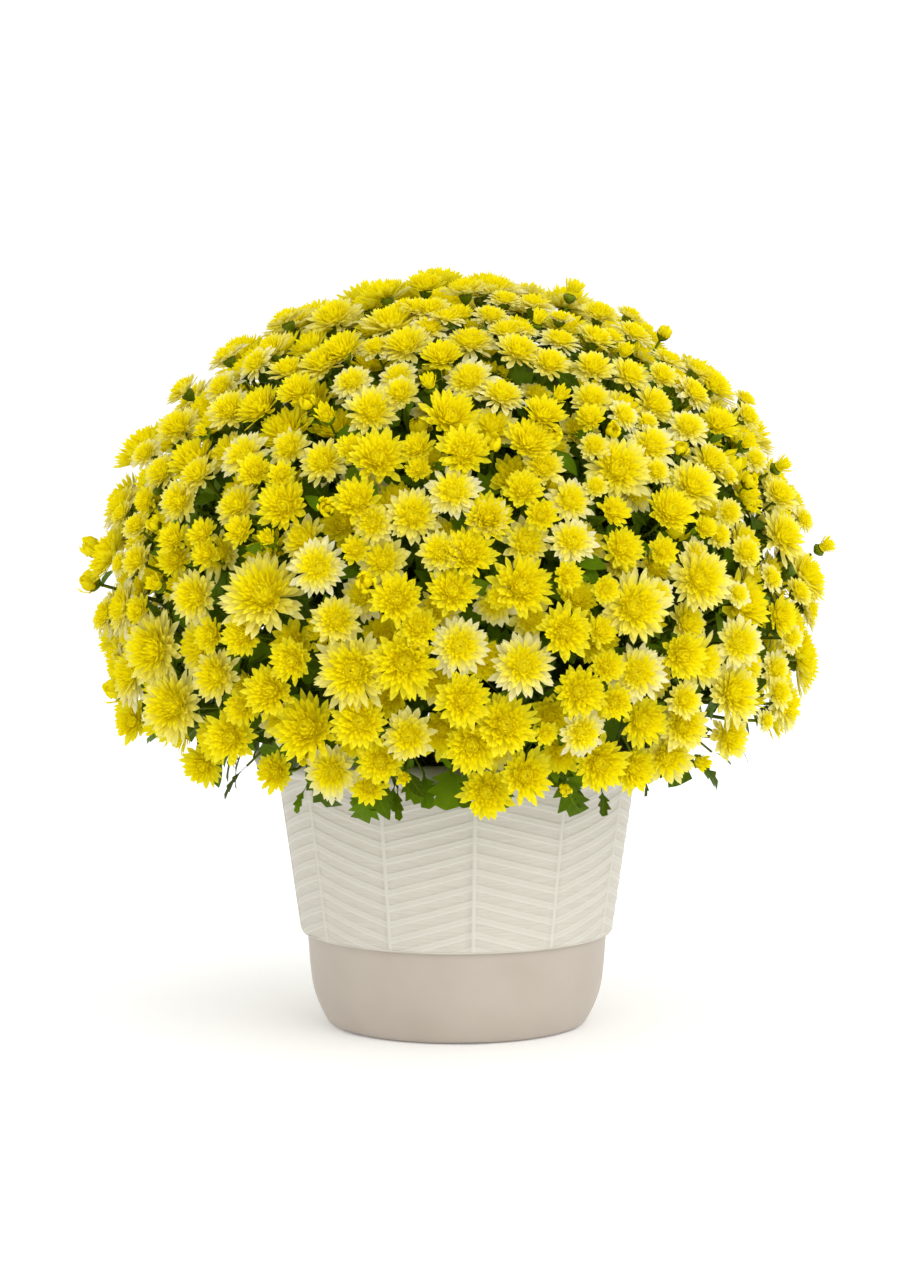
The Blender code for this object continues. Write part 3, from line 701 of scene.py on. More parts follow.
def let_through(tree, colour, share):
    """Lets a share of the light through a leaf or petal, which is thin enough to glow."""
    through = add_node(tree, "BsdfTranslucent", {"Color": colour})
    surface = tree.nodes["Principled BSDF"]
    thin = add_node(tree, "MixShader", {0: share, 1: surface, 2: through})
    join(tree, thin, tree.nodes["Material Output"].inputs["Surface"])


def lobed_leaf():
    """Fresh leaf blade, waxy mid green above, with a paler midrib and side veins."""
    finish, tree, shader = new_finish("fresh_mum_leaf")
    parts = add_node(tree, "SeparateXYZ", {
        "Vector": add_node(tree, "Attribute", attribute_name="leaf").outputs["Vector"]})
    across = add_node(tree, "Math", {0: parts.outputs["Y"]}, operation="ABSOLUTE")
    # Side veins run forward from the midrib, five or six to a side
    swept = add_node(
        tree, "Math", {0: across, 1: -VEIN_SWEEP, 2: parts.outputs["X"]}, operation="MULTIPLY_ADD")
    waves = add_node(tree, "Math", {0: swept, 1: VEINS * math.tau}, operation="MULTIPLY")
    comb = add_node(tree, "Math", {0: waves}, operation="COSINE")
    vein = add_node(tree, "MapRange", {"Value": comb, 1: 0.80, 2: 1.0, 3: 0.0, 4: 0.25})
    rib = add_node(tree, "MapRange", {"Value": across, 1: 0.0, 2: 0.10, 3: 0.55, 4: 0.0})
    veins = add_node(tree, "Math", {0: vein, 1: rib}, operation="MAXIMUM")
    place = add_node(tree, "TexCoord").outputs["Object"]
    patch = add_node(tree, "TexNoise", {"Vector": place, "Scale": each_mm(12.0), "Detail": 3.0})
    mottle = add_node(tree, "Math", {0: patch, 1: 0.45, 2: -0.22}, operation="MULTIPLY_ADD")
    shade = add_node(tree, "Math", {0: parts.outputs["Z"], 1: mottle}, operation="ADD")
    blade = add_node(tree, "ValToRGB", {"Fac": shade})
    set_ramp(blade, ((0.0, "2C3A00"), (0.35, "3E5402"), (0.70, "547206"), (1.0, "6E8C14")))
    ribbed = add_node(tree, "Mix", {0: veins, 6: blade, 7: linear("6C8822")}, data_type="RGBA")
    hollow = add_node(tree, "Math", {0: 1.0, 1: veins}, operation="SUBTRACT")
    set_surface(
        tree, shader, ribbed.outputs[2], roughness=0.52, ior=1.25, relief=(hollow, 0.35, 0.6))
    shader["Specular Tint"].default_value = linear(WAX_SHEEN)
    let_through(tree, linear("6C8C10"), 0.15)
    return finish


def leaf_on(line, share, turn, reach, lengths, slimness, chance, shrink=0.0):
    """What leaf_part needs for one leaf, at a share of the way up a stem and turned round it."""
    at = share * (len(line) - 1)
    low = min(int(at), len(line) - 2)
    along = Vector(unit(np.gradient(line, axis=0))[low])
    side = along.orthogonal().normalized()
    side.rotate(Matrix.Rotation(turn, 3, along))
    length = chance.uniform(*lengths) * (1.0 - shrink * share)
    root = line[low] + (line[low + 1] - line[low]) * (at - low)
    return root, side + reach * along, along, length, length * chance.uniform(*slimness)


def shoot_leaves(line, chance):
    """Leaves in a golden-angle spiral up a stem, larger in the middle than near the fork."""
    rows = []
    for k in range(STEM_LEAVES):
        share = LOWEST_LEAF + LEAFY_SHARE * (k + 0.5) / STEM_LEAVES
        turn = GOLDEN_ANGLE * k + chance.uniform(-VARY_LEAF_TURN, VARY_LEAF_TURN)
        rows.append(leaf_on(
            line, share, turn, LEAF_REACH, LEAF_LENGTHS, LEAF_SLIMNESS, chance, LEAF_SHRINK))
    return leaf_part(LEAF, *zip(*rows), chance)


# The front view: the pixel that its middle falls on, its focal length in pixels, how far it
# looks down, and where it is seen from
VIEW_CENTRE = (457.2, 639.5)
VIEW_FOCAL = 3412.0
VIEW_PITCH = math.radians(4.5)
VIEW_POINT = Vector((0.0, -2.592, 0.4974))


def sight_line(across_view, down_view):
    """What to add to the view point for each metre of depth, to follow a sight line."""
    forward = Vector((0, math.cos(VIEW_PITCH), -math.sin(VIEW_PITCH)))
    up = Vector((0, math.sin(VIEW_PITCH), math.cos(VIEW_PITCH)))
    line = forward - up * ((down_view - VIEW_CENTRE[1]) / VIEW_FOCAL)
    line.x = (across_view - VIEW_CENTRE[0]) / VIEW_FOCAL
    return line


def seen_beside_pot(across_view, down_view, out):
    """The point of a sight line that is so far from the pot's axis, or else beside the axis."""
    line = sight_line(across_view, down_view)
    a = line.x**2 + line.y**2
    b = VIEW_POINT.y * line.y
    room = max(0.0, b * b - a * (VIEW_POINT.y**2 - out**2))
    return VIEW_POINT + line * ((-b - math.sqrt(room)) / a)


def rim_leaf_ends(chance):
    """Base, tip and half width of each leaf over the lip: those seen, then others all round."""
    ends = []
    for across, down, tip_across, tip_down, half, out in SEEN_RIM_LEAVES:
        base = seen_beside_pot(across, down, out)
        tip = seen_beside_pot(tip_across, tip_down, out + RIM_LEAF_TIP_OUT)
        ends.append((base, tip, half * -VIEW_POINT.y / VIEW_FOCAL))
    for k in range(RIM_LEAVES):
        round_pot = (math.tau - 2.0 * RIM_LEAF_START) * (k + chance.random()) / RIM_LEAVES
        turn = RIM_LEAF_START + round_pot
        out = Vector((math.sin(turn), -math.cos(turn), 0.0))
        base, tip = (
            out * radius + Vector((0, 0, chance.uniform(*heights)))
            for radius, *heights in (RIM_LEAF_BASE, RIM_LEAF_TIP))
        tip += Vector((-out.y, out.x, 0.0)) * chance.uniform(-RIM_LEAF_SLANT, RIM_LEAF_SLANT)
        ends.append((base, tip, chance.uniform(*RIM_LEAF_HALF_WIDTHS)))
    return ends


def rim_leaf_parts(base, tip, half, line, chance):
    """A leaf over the lip and its stalk, which springs from the shoot's stem near its fork."""
    root = line[-3]
    bend = (1.0 - RIM_STALK_BEND) * root + RIM_STALK_BEND * np.array(base) + RIM_STALK_ARCH
    stalk = bent_line(root, bend, base, RIM_STALK_STEPS)
    hang = np.array(tip - base)
    length = np.linalg.norm(hang)
    out = np.array(Vector((base.x, base.y, 0.0)).normalized())
    ahead = RIM_LEAF_HANG * hang / length + RIM_LEAF_OUTWARD * out
    leaf = leaf_part(
        LEAF, [base], [ahead], [out + RIM_LEAF_FACE_UP], [RIM_LEAF_LENGTHENED * length], [half],
        chance)
    return [stem_part(stalk, RIM_STALK_RADII, RIM_STALK_SIDES), leaf]


greens = (soft_stem(), lobed_leaf())
seeds = spiral_directions(SPRAYS, LOWEST_ANGLE)
rim_leaves = [[] for _ in seeds]
overhang = random.Random(90)
for ends in rim_leaf_ends(overhang):
    nearest = min(range(SPRAYS), key=lambda k: (hub_place(seeds[k]) - ends[0]).length)
    rim_leaves[nearest].append(ends)
for number, (seed, hanging) in enumerate(zip(seeds, rim_leaves), start=1):
    growth = random.Random(100 + number)
    line = stem_route(seed)
    parts = [stem_part(line, STEM_RADII, STEM_SIDES), shoot_leaves(line, growth)]
    for ends in hanging:
        parts += rim_leaf_parts(*ends, line, growth)
    points, quads, finish_of, facts = join_parts(parts)
    shoot = make_piece(f"leafy_shoot_{number:02d}", points, quads, greens, finish_of, {"leaf": facts})
    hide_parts(f"shoot_{number:02d}")
    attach(shoot, "root")


# Sprays
# Each shoot forks into stalks, and each stalk ends in a double flower of a hundred or so
# spooned petals over a green calyx. The young ones are deep yellow all through, and the
# outer petals fade with age to lemon and then to cream. Heads are given as (across, down,
# width) in pixels of the front view, which is 914 by 1279, in the place where the line of
# sight meets the dome.
UPWARD_LEAN = 0.28
FRONT_LEAN = 0.50
FRONT_LEAN_ENDS = 0.75
DEEP_YELLOW_HEADS = (
    (383, 287, 48), (425, 280, 40), (341, 350, 46), (442, 358, 42), (256, 402, 50),
    (298, 390, 40), (451, 414, 56), (352, 446, 32), (378, 455, 56), (416, 444, 36),
    (418, 466, 28), (464, 452, 52), (256, 472, 36), (282, 475, 28), (144, 500, 28),
    (282, 503, 53), (357, 500, 48), (240, 531, 34), (202, 533, 32), (175, 539, 34),
    (470, 552, 52), (354, 548, 30), (457, 312, 32), (544, 416, 44), (589, 420, 31),
    (718, 424, 38), (530, 441, 50), (718, 379, 40), (523, 489, 40), (490, 514, 50),
    (542, 514, 34), (615, 511, 34), (670, 511, 50), (705, 528, 26), (625, 546, 42),
    (664, 551, 32), (171, 557, 38), (206, 554, 32), (397, 599, 53), (453, 590, 50),
    (419, 627, 40), (139, 610, 30), (209, 635, 36), (243, 636, 42), (290, 661, 45),
    (405, 664, 66), (268, 691, 53), (129, 722, 40), (464, 700, 54), (240, 708, 36),
    (304, 728, 68), (360, 722, 53), (231, 737, 52), (472, 747, 55), (199, 767, 42),
    (272, 773, 40), (380, 762, 46), (369, 787, 36), (524, 585, 60), (500, 596, 26),
    (568, 577, 32), (605, 590, 28), (782, 616, 38), (566, 632, 52), (603, 630, 32),
    (684, 656, 48), (580, 692, 52), (614, 703, 36), (608, 666, 34), (507, 725, 60),
    (547, 734, 24), (603, 765, 54), (527, 776, 52), (487, 793, 52), (637, 770, 46),
)
LEMON_HEADS = (
    (464, 287, 48), (331, 310, 54), (284, 316, 42), (391, 317, 62), (405, 343, 53),
    (268, 348, 46), (321, 358, 54), (287, 365, 42), (183, 390, 42), (400, 393, 40),
    (372, 410, 53), (228, 407, 46), (175, 424, 48), (158, 469, 42), (287, 444, 42),
    (321, 458, 48), (195, 472, 44), (178, 500, 46), (117, 511, 30), (234, 502, 48),
    (413, 513, 54), (372, 522, 42), (489, 516, 42), (136, 525, 32), (439, 551, 44),
    (601, 308, 42), (634, 309, 32), (507, 329, 40), (597, 337, 42), (519, 351, 48),
    (551, 362, 42), (593, 368, 42), (631, 373, 42), (701, 365, 36), (746, 399, 26),
    (662, 376, 34), (593, 396, 42), (659, 399, 46), (746, 418, 32), (648, 421, 25),
    (594, 446, 31), (544, 465, 44), (620, 466, 67), (715, 458, 46), (655, 472, 30),
    (596, 486, 26), (693, 486, 56), (780, 494, 42), (729, 475, 24), (732, 511, 30),
    (723, 533, 30), (746, 552, 36), (784, 536, 53), (136, 560, 38), (193, 596, 52),
    (259, 590, 84), (336, 619, 50), (150, 649, 74), (212, 675, 53), (352, 671, 76),
    (172, 705, 70), (408, 737, 50), (636, 607, 70), (701, 580, 62), (799, 591, 32),
    (684, 700, 38), (737, 692, 62), (777, 692, 32), (687, 725, 52), (732, 737, 46),
    (670, 759, 54),
)
CREAM_HEADS = (
    (225, 354, 44), (470, 334, 56), (217, 382, 40), (256, 365, 40), (352, 382, 42),
    (397, 371, 40), (469, 377, 52), (144, 452, 36), (241, 452, 52), (453, 491, 53),
    (506, 293, 36), (535, 298, 44), (561, 313, 30), (561, 337, 44), (636, 329, 44),
    (670, 356, 42), (503, 390, 52), (684, 382, 34), (695, 393, 44), (624, 416, 34),
    (687, 427, 44), (653, 444, 50), (760, 455, 30), (573, 497, 48), (572, 539, 48),
    (701, 553, 36), (805, 519, 30), (101, 613, 46), (116, 562, 28), (317, 567, 55),
    (461, 646, 57), (329, 773, 57), (737, 594, 28), (662, 592, 34), (774, 577, 32),
    (524, 664, 64), (740, 643, 52), (791, 638, 30), (782, 669, 38), (639, 672, 56),
    (583, 734, 48), (765, 720, 24),
)
OPENING_HEADS = (
    (430, 384, 24), (327, 416, 28), (203, 432, 18), (269, 539, 24), (572, 291, 28),
    (538, 320, 23), (624, 353, 22), (559, 397, 26), (746, 444, 20), (780, 466, 24),
    (824, 547, 24), (157, 585, 24), (404, 778, 20), (700, 762, 24),
)
BUDS = (
    (308, 404, 13), (327, 507, 14), (155, 524, 12), (93, 548, 17), (664, 334, 12),
    (613, 430, 13), (555, 435, 14), (493, 444, 15), (680, 449, 12), (749, 482, 14),
    (751, 507, 9), (91, 582, 17), (366, 582, 17), (116, 689, 18), (565, 790, 11),
)
# Pale heads half hidden near the top, which are too small for the solids
TUCKED_HEADS = (
    (430, 324, 38), (447, 318, 38), (492, 309, 40), (375, 343, 38), (523, 328, 38), (616, 330, 36),
)
# Heads set last, behind the slits that the others leave near the top
LAST_HEADS = ((404, 304, 42), (431, 310, 40), (418, 308, 36))
FILL_TRIES = 9000
FILL_RADIUS = (0.0200, 0.0275)
FILL_SHARE = 0.97
# Flowers beneath the outer ones: depth, radii, and how close they may come; how full they
# are, and how small the unopened ones
LOWER_LAYERS = ((0.012, (0.0165, 0.0215), 0.79), (0.026, (0.0150, 0.0190), 0.88))
LOWER_FULLNESS = 0.65
LOWER_SIZES = {"opening": 0.62, "bud": 0.40}
FORM_SHARES = {"deep_yellow": 35, "lemon": 34, "cream": 20, "opening": 6, "bud": 5}
# Depths at which a line of sight is tried: the first, how far apart, and how many
SIGHT_START, SIGHT_STEP, SIGHT_STEPS = 2.26, 0.0025, 160
OUTLINE_REACH = 0.080
OUTLINE_DEPTH = 0.009
SKIRT_RADIUS = 0.190
SKIRT_HEIGHT = 0.206
SKIRT_SLOPE = 0.5
HEAD_DEPTH = 0.32
SPREAD = 1.155
UNEVENNESS = 0.004
STALK_RADII = (0.0017, 0.0012)
STALK_SIDES = 4
STALK_BEND = 0.55
TILT = 0.20
Head = namedtuple("Head", "place facing radius form fullness")


def head_facing(point, to_front=0.0):
    """Flowers turn away from the dome's centre, and lean towards the light above and in front."""
    away = (point - DOME_CENTRE).normalized()
    share = max(0.0, 1.0 - max(0.0, away.z / FRONT_LEAN_ENDS) ** 2)
    forward = (VIEW_POINT - point).normalized() * (to_front * share)
    return (away + Vector((0, 0, UPWARD_LEAN)) + forward).normalized()


def seen_head(across_view, down_view, width, form):
    """The head at a place in the front view: where its sight line meets the dome."""
    line = sight_line(across_view, down_view)
    best = None
    for step in range(SIGHT_STEPS):
        depth = SIGHT_START + SIGHT_STEP * step
        point = VIEW_POINT + line * depth
        level = dome_level(point)
        if best is None or level < best[0]:
            best = (level, point, depth)
        if level <= 1.0:
            break
    level, point, depth = best
    return Head(point, head_facing(point, FRONT_LEAN), 0.5 * width / VIEW_FOCAL * depth, form, 1.0)


def random_dome_head(chance, radii):
    """A head at a random place on the dome, with no form yet."""
    height = 1.0 - (1.0 - math.cos(LOWEST_ANGLE)) * chance.random()
    turn = math.tau * chance.random()
    radius = chance.uniform(*radii)
    place = dome_point(direction_at(height, turn))
    return Head(place, head_facing(place), radius, None, 1.0)


def uncrowded(head, heads, share):
    return all((head.place - one.place).length > share * (head.radius + one.radius) for one in heads)


def above_skirt(place):
    """Whether a place is above the lower edge of the flowers, which rises outwards."""
    out = math.hypot(place.x, place.y)
    return place.z > SKIRT_HEIGHT + SKIRT_SLOPE * max(0.0, out - SKIRT_RADIUS)


def sunk(head):
    """A head moved in along its own facing, the more the nearer it is to the front's outline."""
    share = max(0.0, 1.0 - abs(head.place.y) / OUTLINE_REACH) ** 0.5
    return head._replace(place=head.place - head.facing * (OUTLINE_DEPTH * share))


def random_form(chance):
    """How far a head has opened and faded, in the shares that the front shows."""
    return chance.choices(tuple(FORM_SHARES), tuple(FORM_SHARES.values()))[0]


def all_heads():
    """The heads that the front view shows, then those round the sides and the back."""
    places = (DEEP_YELLOW_HEADS, LEMON_HEADS, CREAM_HEADS, OPENING_HEADS, BUDS)
    heads = [seen_head(*place, form) for form, some in zip(FORM_SHARES, places) for place in some]
    seen = len(heads)
    chance, forms = random.Random(4), random.Random(5)
    for _ in range(FILL_TRIES):
        head = random_dome_head(chance, FILL_RADIUS)
        if uncrowded(head, heads, FILL_SHARE):
            form = random_form(forms)
            heads.append(head._replace(form="lemon" if form in ("opening", "bud") else form))
    heads += [seen_head(*place, "cream") for place in TUCKED_HEADS]
    for depth, radii, share in LOWER_LAYERS:
        for _ in range(FILL_TRIES):
            head = random_dome_head(chance, radii)
            head = head._replace(place=head.place - head.facing * depth)
            if uncrowded(head, heads, share):
                form = random_form(forms)
                radius = head.radius * LOWER_SIZES.get(form, 1.0)
                heads.append(Head(head.place, head.facing, radius, form, LOWER_FULLNESS))
    heads += [seen_head(*place, "lemon") for place in LAST_HEADS]
    heads = heads[:seen] + [sunk(head) for head in heads[seen:] if above_skirt(head.place)]
    return [head._replace(radius=head.radius * SPREAD) for head in heads]


# Petal outlines, as for the leaves: broad spoons outside, narrower within, short at the eye
SPOON = flat_sheet(
    ((0.0, 0.24, 0.0), (0.40, 0.74, 0.0), (0.76, 1.0, 0.0), (1.0, 0.62, -0.12)), (-1.0, 0.0, 1.0))
STRAP = flat_sheet(((0.0, 0.40, 0.0), (0.58, 1.0, 0.0), (1.0, 0.60, -0.12)), (-1.0, 0.0, 1.0))
TUFT = flat_sheet(((0.0, 0.6, 0.0), (0.60, 1.0, 0.0), (1.0, 0.50, -0.10)), (-1.0, 0.0, 1.0))
# The eye, a low mound that the middle petals grow from: radius and height as shares of a head's
EYE = ((0.38, 0.06), (0.27, 0.24), (0.15, 0.33), (0.02, 0.30))
EYE_SIDES = 7
EYE_FACTS = (0.6, 1.0, 0.0)
EYE_LEVEL = 0.62
# What each form has: petals of each outline for a head 20 mm in radius; as shares of its radius,
# how high its rim is over the petals' roots, and its middle over the rim; how far its petals
# curl upwards from rim to middle, in radians; and how faded it is
Form = namedtuple("Form", "petals rim dome curl fade")
FORMS = {
    "deep_yellow": Form((42, 32, 34), 0.36, 0.32, (0.60, 1.25), 0.18),
    "lemon": Form((46, 32, 32), 0.18, 0.42, (0.25, 1.25), 0.58),
    "cream": Form((46, 30, 30), 0.04, 0.46, (-0.15, 1.25), 0.80),
    "opening": Form((22, 14, 14), 0.95, 0.20, (0.60, 1.20), 0.12),
    "bud": Form((10, 6, 6), 0.0, 0.0, (2.7, 2.9), 0.0),
}
# Petals: half widths at the middle and the rim of a head of this radius, and the fewest of
# an outline that a small head has
NOMINAL_RADIUS = 0.020
PETAL_HALF_WIDTHS = (0.0011, 0.0023)
FEWEST_PETALS = 5
# How fast the petals' number and width grow with a head, how their reach and rise fall off
# towards its middle, and where they are rooted, as shares of its radius
COUNT_POWER, WIDTH_POWER, REACH_POWER, RISE_POWER = 0.9, 0.4, 0.60, 2.2
ROOT_OUT, ROOT_UP = 0.12, 0.08
PETAL_CUP, PETAL_CUP_INWARD = 0.30, 0.45
OPENING_REACH = 0.75
# Petals that are shut round a bud: how much shorter the middle ones are, and half widths
BUD_SHORTENING, BUD_PETAL_WIDTH, BUD_VARY_LIFT = 0.25, 0.46, 0.10
# How much petals vary at random
VARY_TURN, VARY_REACH, VARY_CURL, VARY_RISE = 0.10, 0.08, 0.14, 0.04
VARY_WIDTH, VARY_ROLL, VARY_FADE = 0.08, 0.16, 0.12
# Calyx: places along it and half widths, in metres, or for a bud as shares of its radius
CALYX = ((-1.0, 0.0013), (-0.6, 0.0042), (-0.15, 0.0055), (0.15, 0.0042))
BUD_CALYX = ((-0.35, 0.18), (-0.12, 0.55), (0.20, 0.88), (0.55, 1.00))
CALYX_DEPTH = 0.008
CALYX_SIDES = 7
# How far a bud's petals and its stalk's end lie below its place, as shares of its radius
BUD_DEPTH, BUD_STALK_DEPTH = 0.8, 1.1


def eye_part(centre, axis, side, radius, dome):
    """The mound in the middle of a head."""
    turns = np.arange(EYE_SIDES) * math.tau / EYE_SIDES
    across = np.cos(turns)[:, None] * side + np.sin(turns)[:, None] * np.cross(axis, side)
    points = np.vstack([
        centre + across * (radius * out) + axis * (radius * dome * rise / EYE[-1][1])
        for out, rise in EYE])
    return points, grid_quads(len(EYE), EYE_SIDES, closed=True), 0, np.tile(EYE_FACTS, (len(points), 1))


def petal_part(head, facing, chance):
    """All the petals of one head, from the outermost in, in a golden-angle spiral.

    Their tips lie on a dome, and each petal is an arc from the head's middle to its tip.
    """
    form = FORMS[head.form]
    radius = head.radius
    size = radius / NOMINAL_RADIUS
    counts = [
        max(FEWEST_PETALS, round(count * head.fullness * size**COUNT_POWER)) for count in form.petals]
    total = sum(counts)
    noisy = np.clip([[chance.gauss(0.0, 1.0) for _ in range(6)] for _ in range(total)], -2.0, 2.0)
    inward = (np.arange(total) + 0.5) / total
    turns = GOLDEN_ANGLE * np.arange(total) + chance.uniform(0, math.tau) + VARY_TURN * noisy[:, 0]
    side = np.array(facing.orthogonal().normalized())
    axis = np.array(facing)
    outs = np.cos(turns)[:, None] * side + np.sin(turns)[:, None] * np.cross(axis, side)
    share = (1.0 - inward) ** REACH_POWER * (1.0 + VARY_REACH * noisy[:, 1])
    if head.form == "opening":
        share *= OPENING_REACH
    curls = form.curl[0] + (form.curl[1] - form.curl[0]) * inward + VARY_CURL * noisy[:, 4]
    tip_out = radius * share
    tip_up = radius * (form.rim + form.dome * (1.0 - share**RISE_POWER) + VARY_RISE * noisy[:, 3])
    root_out = radius * ROOT_OUT * (1.0 - inward)
    root_up = radius * ROOT_UP * inward
    chords = np.hypot(tip_out - root_out, tip_up - root_up)
    lengths = chords / np.sinc(curls / math.tau)
    lifts = np.arctan2(tip_up - root_up, tip_out - root_out) - 0.5 * curls
    narrow, wide = PETAL_HALF_WIDTHS
    widths = (narrow + (wide - narrow) * share) * size**WIDTH_POWER * (1.0 + VARY_WIDTH * noisy[:, 2])
    widths /= head.fullness**0.5
    deep = HEAD_DEPTH
    if head.form == "bud":
        deep = BUD_DEPTH
        lifts, widths = BUD_VARY_LIFT * noisy[:, 3], np.full(total, BUD_PETAL_WIDTH * radius)
        lengths = math.pi * radius * (1.0 - BUD_SHORTENING * inward)
    centre = np.array(head.place) - axis * (deep * radius)
    roots = centre + outs * root_out[:, None] + axis * root_up[:, None]
    faces = np.repeat(axis[None], total, axis=0)
    cups = PETAL_CUP + PETAL_CUP_INWARD * inward
    rolls = VARY_ROLL * noisy[:, 5]
    faded = form.fade * (1.0 + VARY_FADE * noisy[:, 1])
    parts = [eye_part(centre, axis, side, radius, EYE_LEVEL * (form.rim + form.dome))]
    first = 0
    for count, sheet in zip(counts, (SPOON, STRAP, TUFT)):
        some = slice(first, first + count)
        first += count
        shape = (value[some] for value in (
            roots, outs, faces, lengths, widths, lifts, curls, cups, rolls))
        parts.append(bent_sheets(sheet, 0, (inward[some, None], faded[some, None]), *shape))
    return join_parts(parts)


def calyx_part(head, facing):
    """The green cup of small bracts that holds the petals."""
    bud = head.form == "bud"
    top = head.place - facing * ((BUD_DEPTH if bud else HEAD_DEPTH) * head.radius)
    depth = head.radius if bud else min(CALYX_DEPTH, 0.5 * head.radius)
    profile = BUD_CALYX if bud else CALYX
    line = np.array([top + facing * (depth * share) for share, _ in profile])
    widths = np.array([width for _, width in profile]) * (head.radius if bud else 1.0)
    points, quads = tube(line, (1.0, 1.0), CALYX_SIDES)
    points = points.reshape(len(line), CALYX_SIDES, 3) - line[:, None]
    points = (line[:, None] + points * widths[:, None, None]).reshape(-1, 3)
    return points, quads, 0, np.zeros((len(points), 3))


# Bracts are the small plain leaves under a flower, outlined as the leaves are
BRACT = flat_sheet(
    ((0.0, 0.05, 0.0), (0.18, 0.30, 0.0), (0.42, 0.95, 0.02), (0.66, 0.84, 0.03), (0.86, 0.44, 0.0),
     (1.0, 0.05, 0.0)), (-1.0, 0.0, 1.0))
LOBED = flat_sheet(LEAF_OUTLINE, (-1.0, 0.0, 1.0))
# What grows on a stalk: outline, places along it, lengths, and half widths as shares of them
STALK_LEAVES = (
    (BRACT, (0.86, 0.68), (0.018, 0.030), (0.18, 0.25)),
    (LOBED, (0.44, 0.64), (0.036, 0.052), LEAF_SLIMNESS),
)
STALK_STEPS = 6
STALK_LEAF_REACH = 0.30


def stalk_parts(head, facing, hub, chance):
    """A head's stalk, curved up into its calyx, with two bracts and two lobed leaves on it."""
    bud = head.form == "bud"
    deep = BUD_STALK_DEPTH * head.radius if bud else HEAD_DEPTH * head.radius + CALYX_DEPTH
    end = head.place - facing * deep
    line = bent_line(hub, end - facing * (STALK_BEND * (end - hub).length), end, STALK_STEPS)
    parts = [stem_part(line, STALK_RADII, STALK_SIDES)]
    for sheet, shares, lengths, slimness in STALK_LEAVES:
        rows = [
            leaf_on(line, share, chance.uniform(0, math.tau), STALK_LEAF_REACH, lengths, slimness, chance)
            for share in shares]
        parts.append(leaf_part(sheet, *zip(*rows), chance))
    return parts


def fading_petal():
    """Thin matt petal. Deep yellow at first, it fades from the tips of the outermost inwards."""
    finish, tree, shader = new_finish("fading_yellow_petal")
    parts = add_node(tree, "SeparateXYZ", {
        "Vector": add_node(tree, "Attribute", attribute_name="petal").outputs["Vector"]})
    outward = add_node(
        tree, "MapRange", {"Value": parts.outputs["Y"], 1: 0.22, 2: 0.72, 3: 1.0, 4: 0.0})
    tipward = add_node(
        tree, "MapRange", {"Value": parts.outputs["X"], 1: 0.05, 2: 0.90, 3: 0.40, 4: 1.0})
    spread = add_node(tree, "Math", {0: outward, 1: tipward}, operation="MULTIPLY")
    faded = add_node(tree, "Math", {0: spread, 1: parts.outputs["Z"]}, operation="MULTIPLY")
    colour = add_node(tree, "ValToRGB", {"Fac": faded})
    set_ramp(colour, (
        (0.0, "F8EC00"), (0.10, "F8EE06"), (0.20, "F7EE2E"), (0.45, "F8F06E"), (0.72, "F8F2A8"),
        (1.0, "F9F5D4")))
    set_surface(tree, shader, colour, roughness=0.7, ior=1.30)
    let_through(tree, colour, 0.45)
    return finish


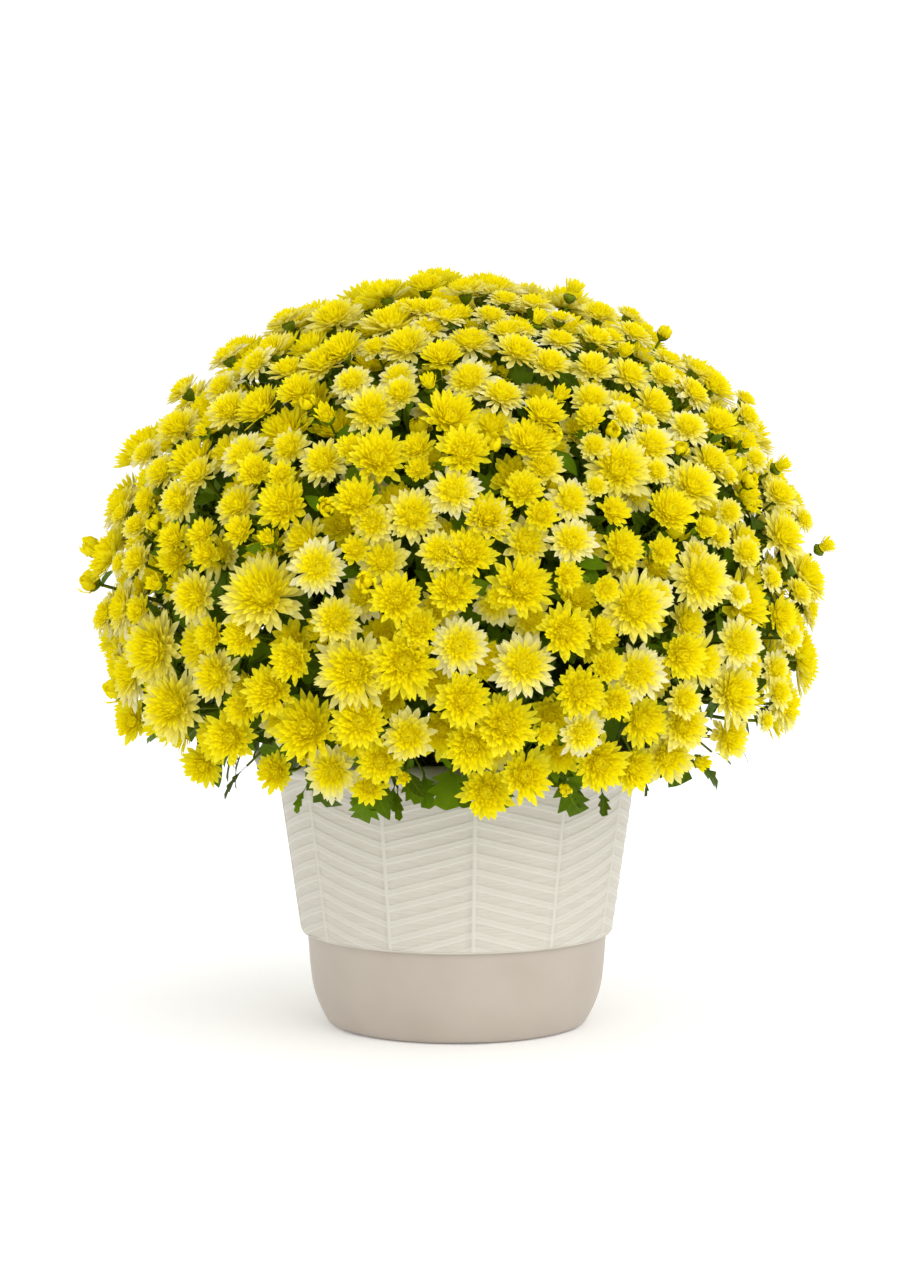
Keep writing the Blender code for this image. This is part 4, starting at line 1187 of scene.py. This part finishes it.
petal_finish = fading_petal()
shares = [[] for _ in seeds]
for head in all_heads():
    direction = (head.place - DOME_CENTRE).normalized()
    shares[max(range(SPRAYS), key=lambda k: direction.dot(seeds[k]))].append(head)
for number, (seed, mine) in enumerate(zip(seeds, shares), start=1):
    growth = random.Random(200 + number)
    petals, greenery = [], []
    for head in mine:
        lean = Vector([growth.uniform(-1, 1) for _ in range(3)]) * TILT
        facing = (head.facing + lean).normalized()
        uneven = growth.uniform(-UNEVENNESS, UNEVENNESS) * (head.form not in ("opening", "bud"))
        head = head._replace(place=head.place + head.facing * uneven)
        petals.append(petal_part(head, facing, growth))
        greenery.append(calyx_part(head, facing))
        greenery += stalk_parts(head, facing, hub_place(seed), growth)
    points, quads, _, facts = join_parts(petals)
    flowers = make_piece(f"flowers_{number:02d}", points, quads, (petal_finish,), None, {"petal": facts})
    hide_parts(f"spray_{number:02d}")
    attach(flowers, "root")
    points, quads, finish_of, facts = join_parts(greenery)
    stalks = make_piece(f"flower_stalks_{number:02d}", points, quads, greens, finish_of, {"leaf": facts})
    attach(stalks, "root")


# Room
# A pale matt floor, white surroundings that light the plant evenly, and one large soft
# lamp above and to the right of the camera.
def pale_floor():
    """Matt white acrylic, lit faintly from below, as on a product photographer's table."""
    finish, tree, shader = new_finish("lit_white_acrylic")
    white = cloudy_colour(tree, 500.0, 2.0, ((0.3, "FBFBFA"), (0.7, "FEFEFE")))[2]
    set_surface(tree, shader, white, roughness=0.9)
    shader["Emission Color"].default_value = (1.0, 1.0, 1.0, 1.0)
    shader["Emission Strength"].default_value = 0.10
    return finish


FLOOR_HALF = 6.0
corners = [(FLOOR_HALF * x, FLOOR_HALF * y, 0.0) for x, y in ((-1, -1), (1, -1), (1, 1), (-1, 1))]
floor = make_piece("floor", corners, np.array([[0, 1, 2, 3]]), (pale_floor(),))

world = bpy.data.worlds.new("white_room")
bpy.context.scene.world = world
world.use_nodes = True
surroundings = world.node_tree.nodes["Background"].inputs
surroundings["Color"].default_value = (1.0, 1.0, 1.0, 1.0)
surroundings["Strength"].default_value = 1.15

lamp = bpy.data.lights.new("soft_lamp", "AREA")
lamp.shape = "RECTANGLE"
lamp.size = 2.4
lamp.size_y = 2.0
lamp.energy = 37.0
lamp_object = bpy.data.objects.new("soft_lamp", lamp)
lamp_object.location = (1.5, -2.3, 2.0)
lamp_aim = Vector((0, 0, 0.3)) - lamp_object.location
lamp_object.rotation_euler = lamp_aim.to_track_quat("-Z", "Y").to_euler()
bpy.context.scene.collection.objects.link(lamp_object)

VIEW_HEIGHT = 1279.0
camera = bpy.data.cameras.new("front_camera")
camera.sensor_width = 36.0
camera.lens = VIEW_FOCAL / VIEW_HEIGHT * camera.sensor_width
camera_object = bpy.data.objects.new("front_camera", camera)
camera_object.location = VIEW_POINT
camera_object.rotation_euler = (math.pi / 2.0 - VIEW_PITCH, 0.0, 0.0)
bpy.context.scene.collection.objects.link(camera_object)
bpy.context.scene.camera = camera_object
bpy.context.scene.view_settings.view_transform = "Standard"
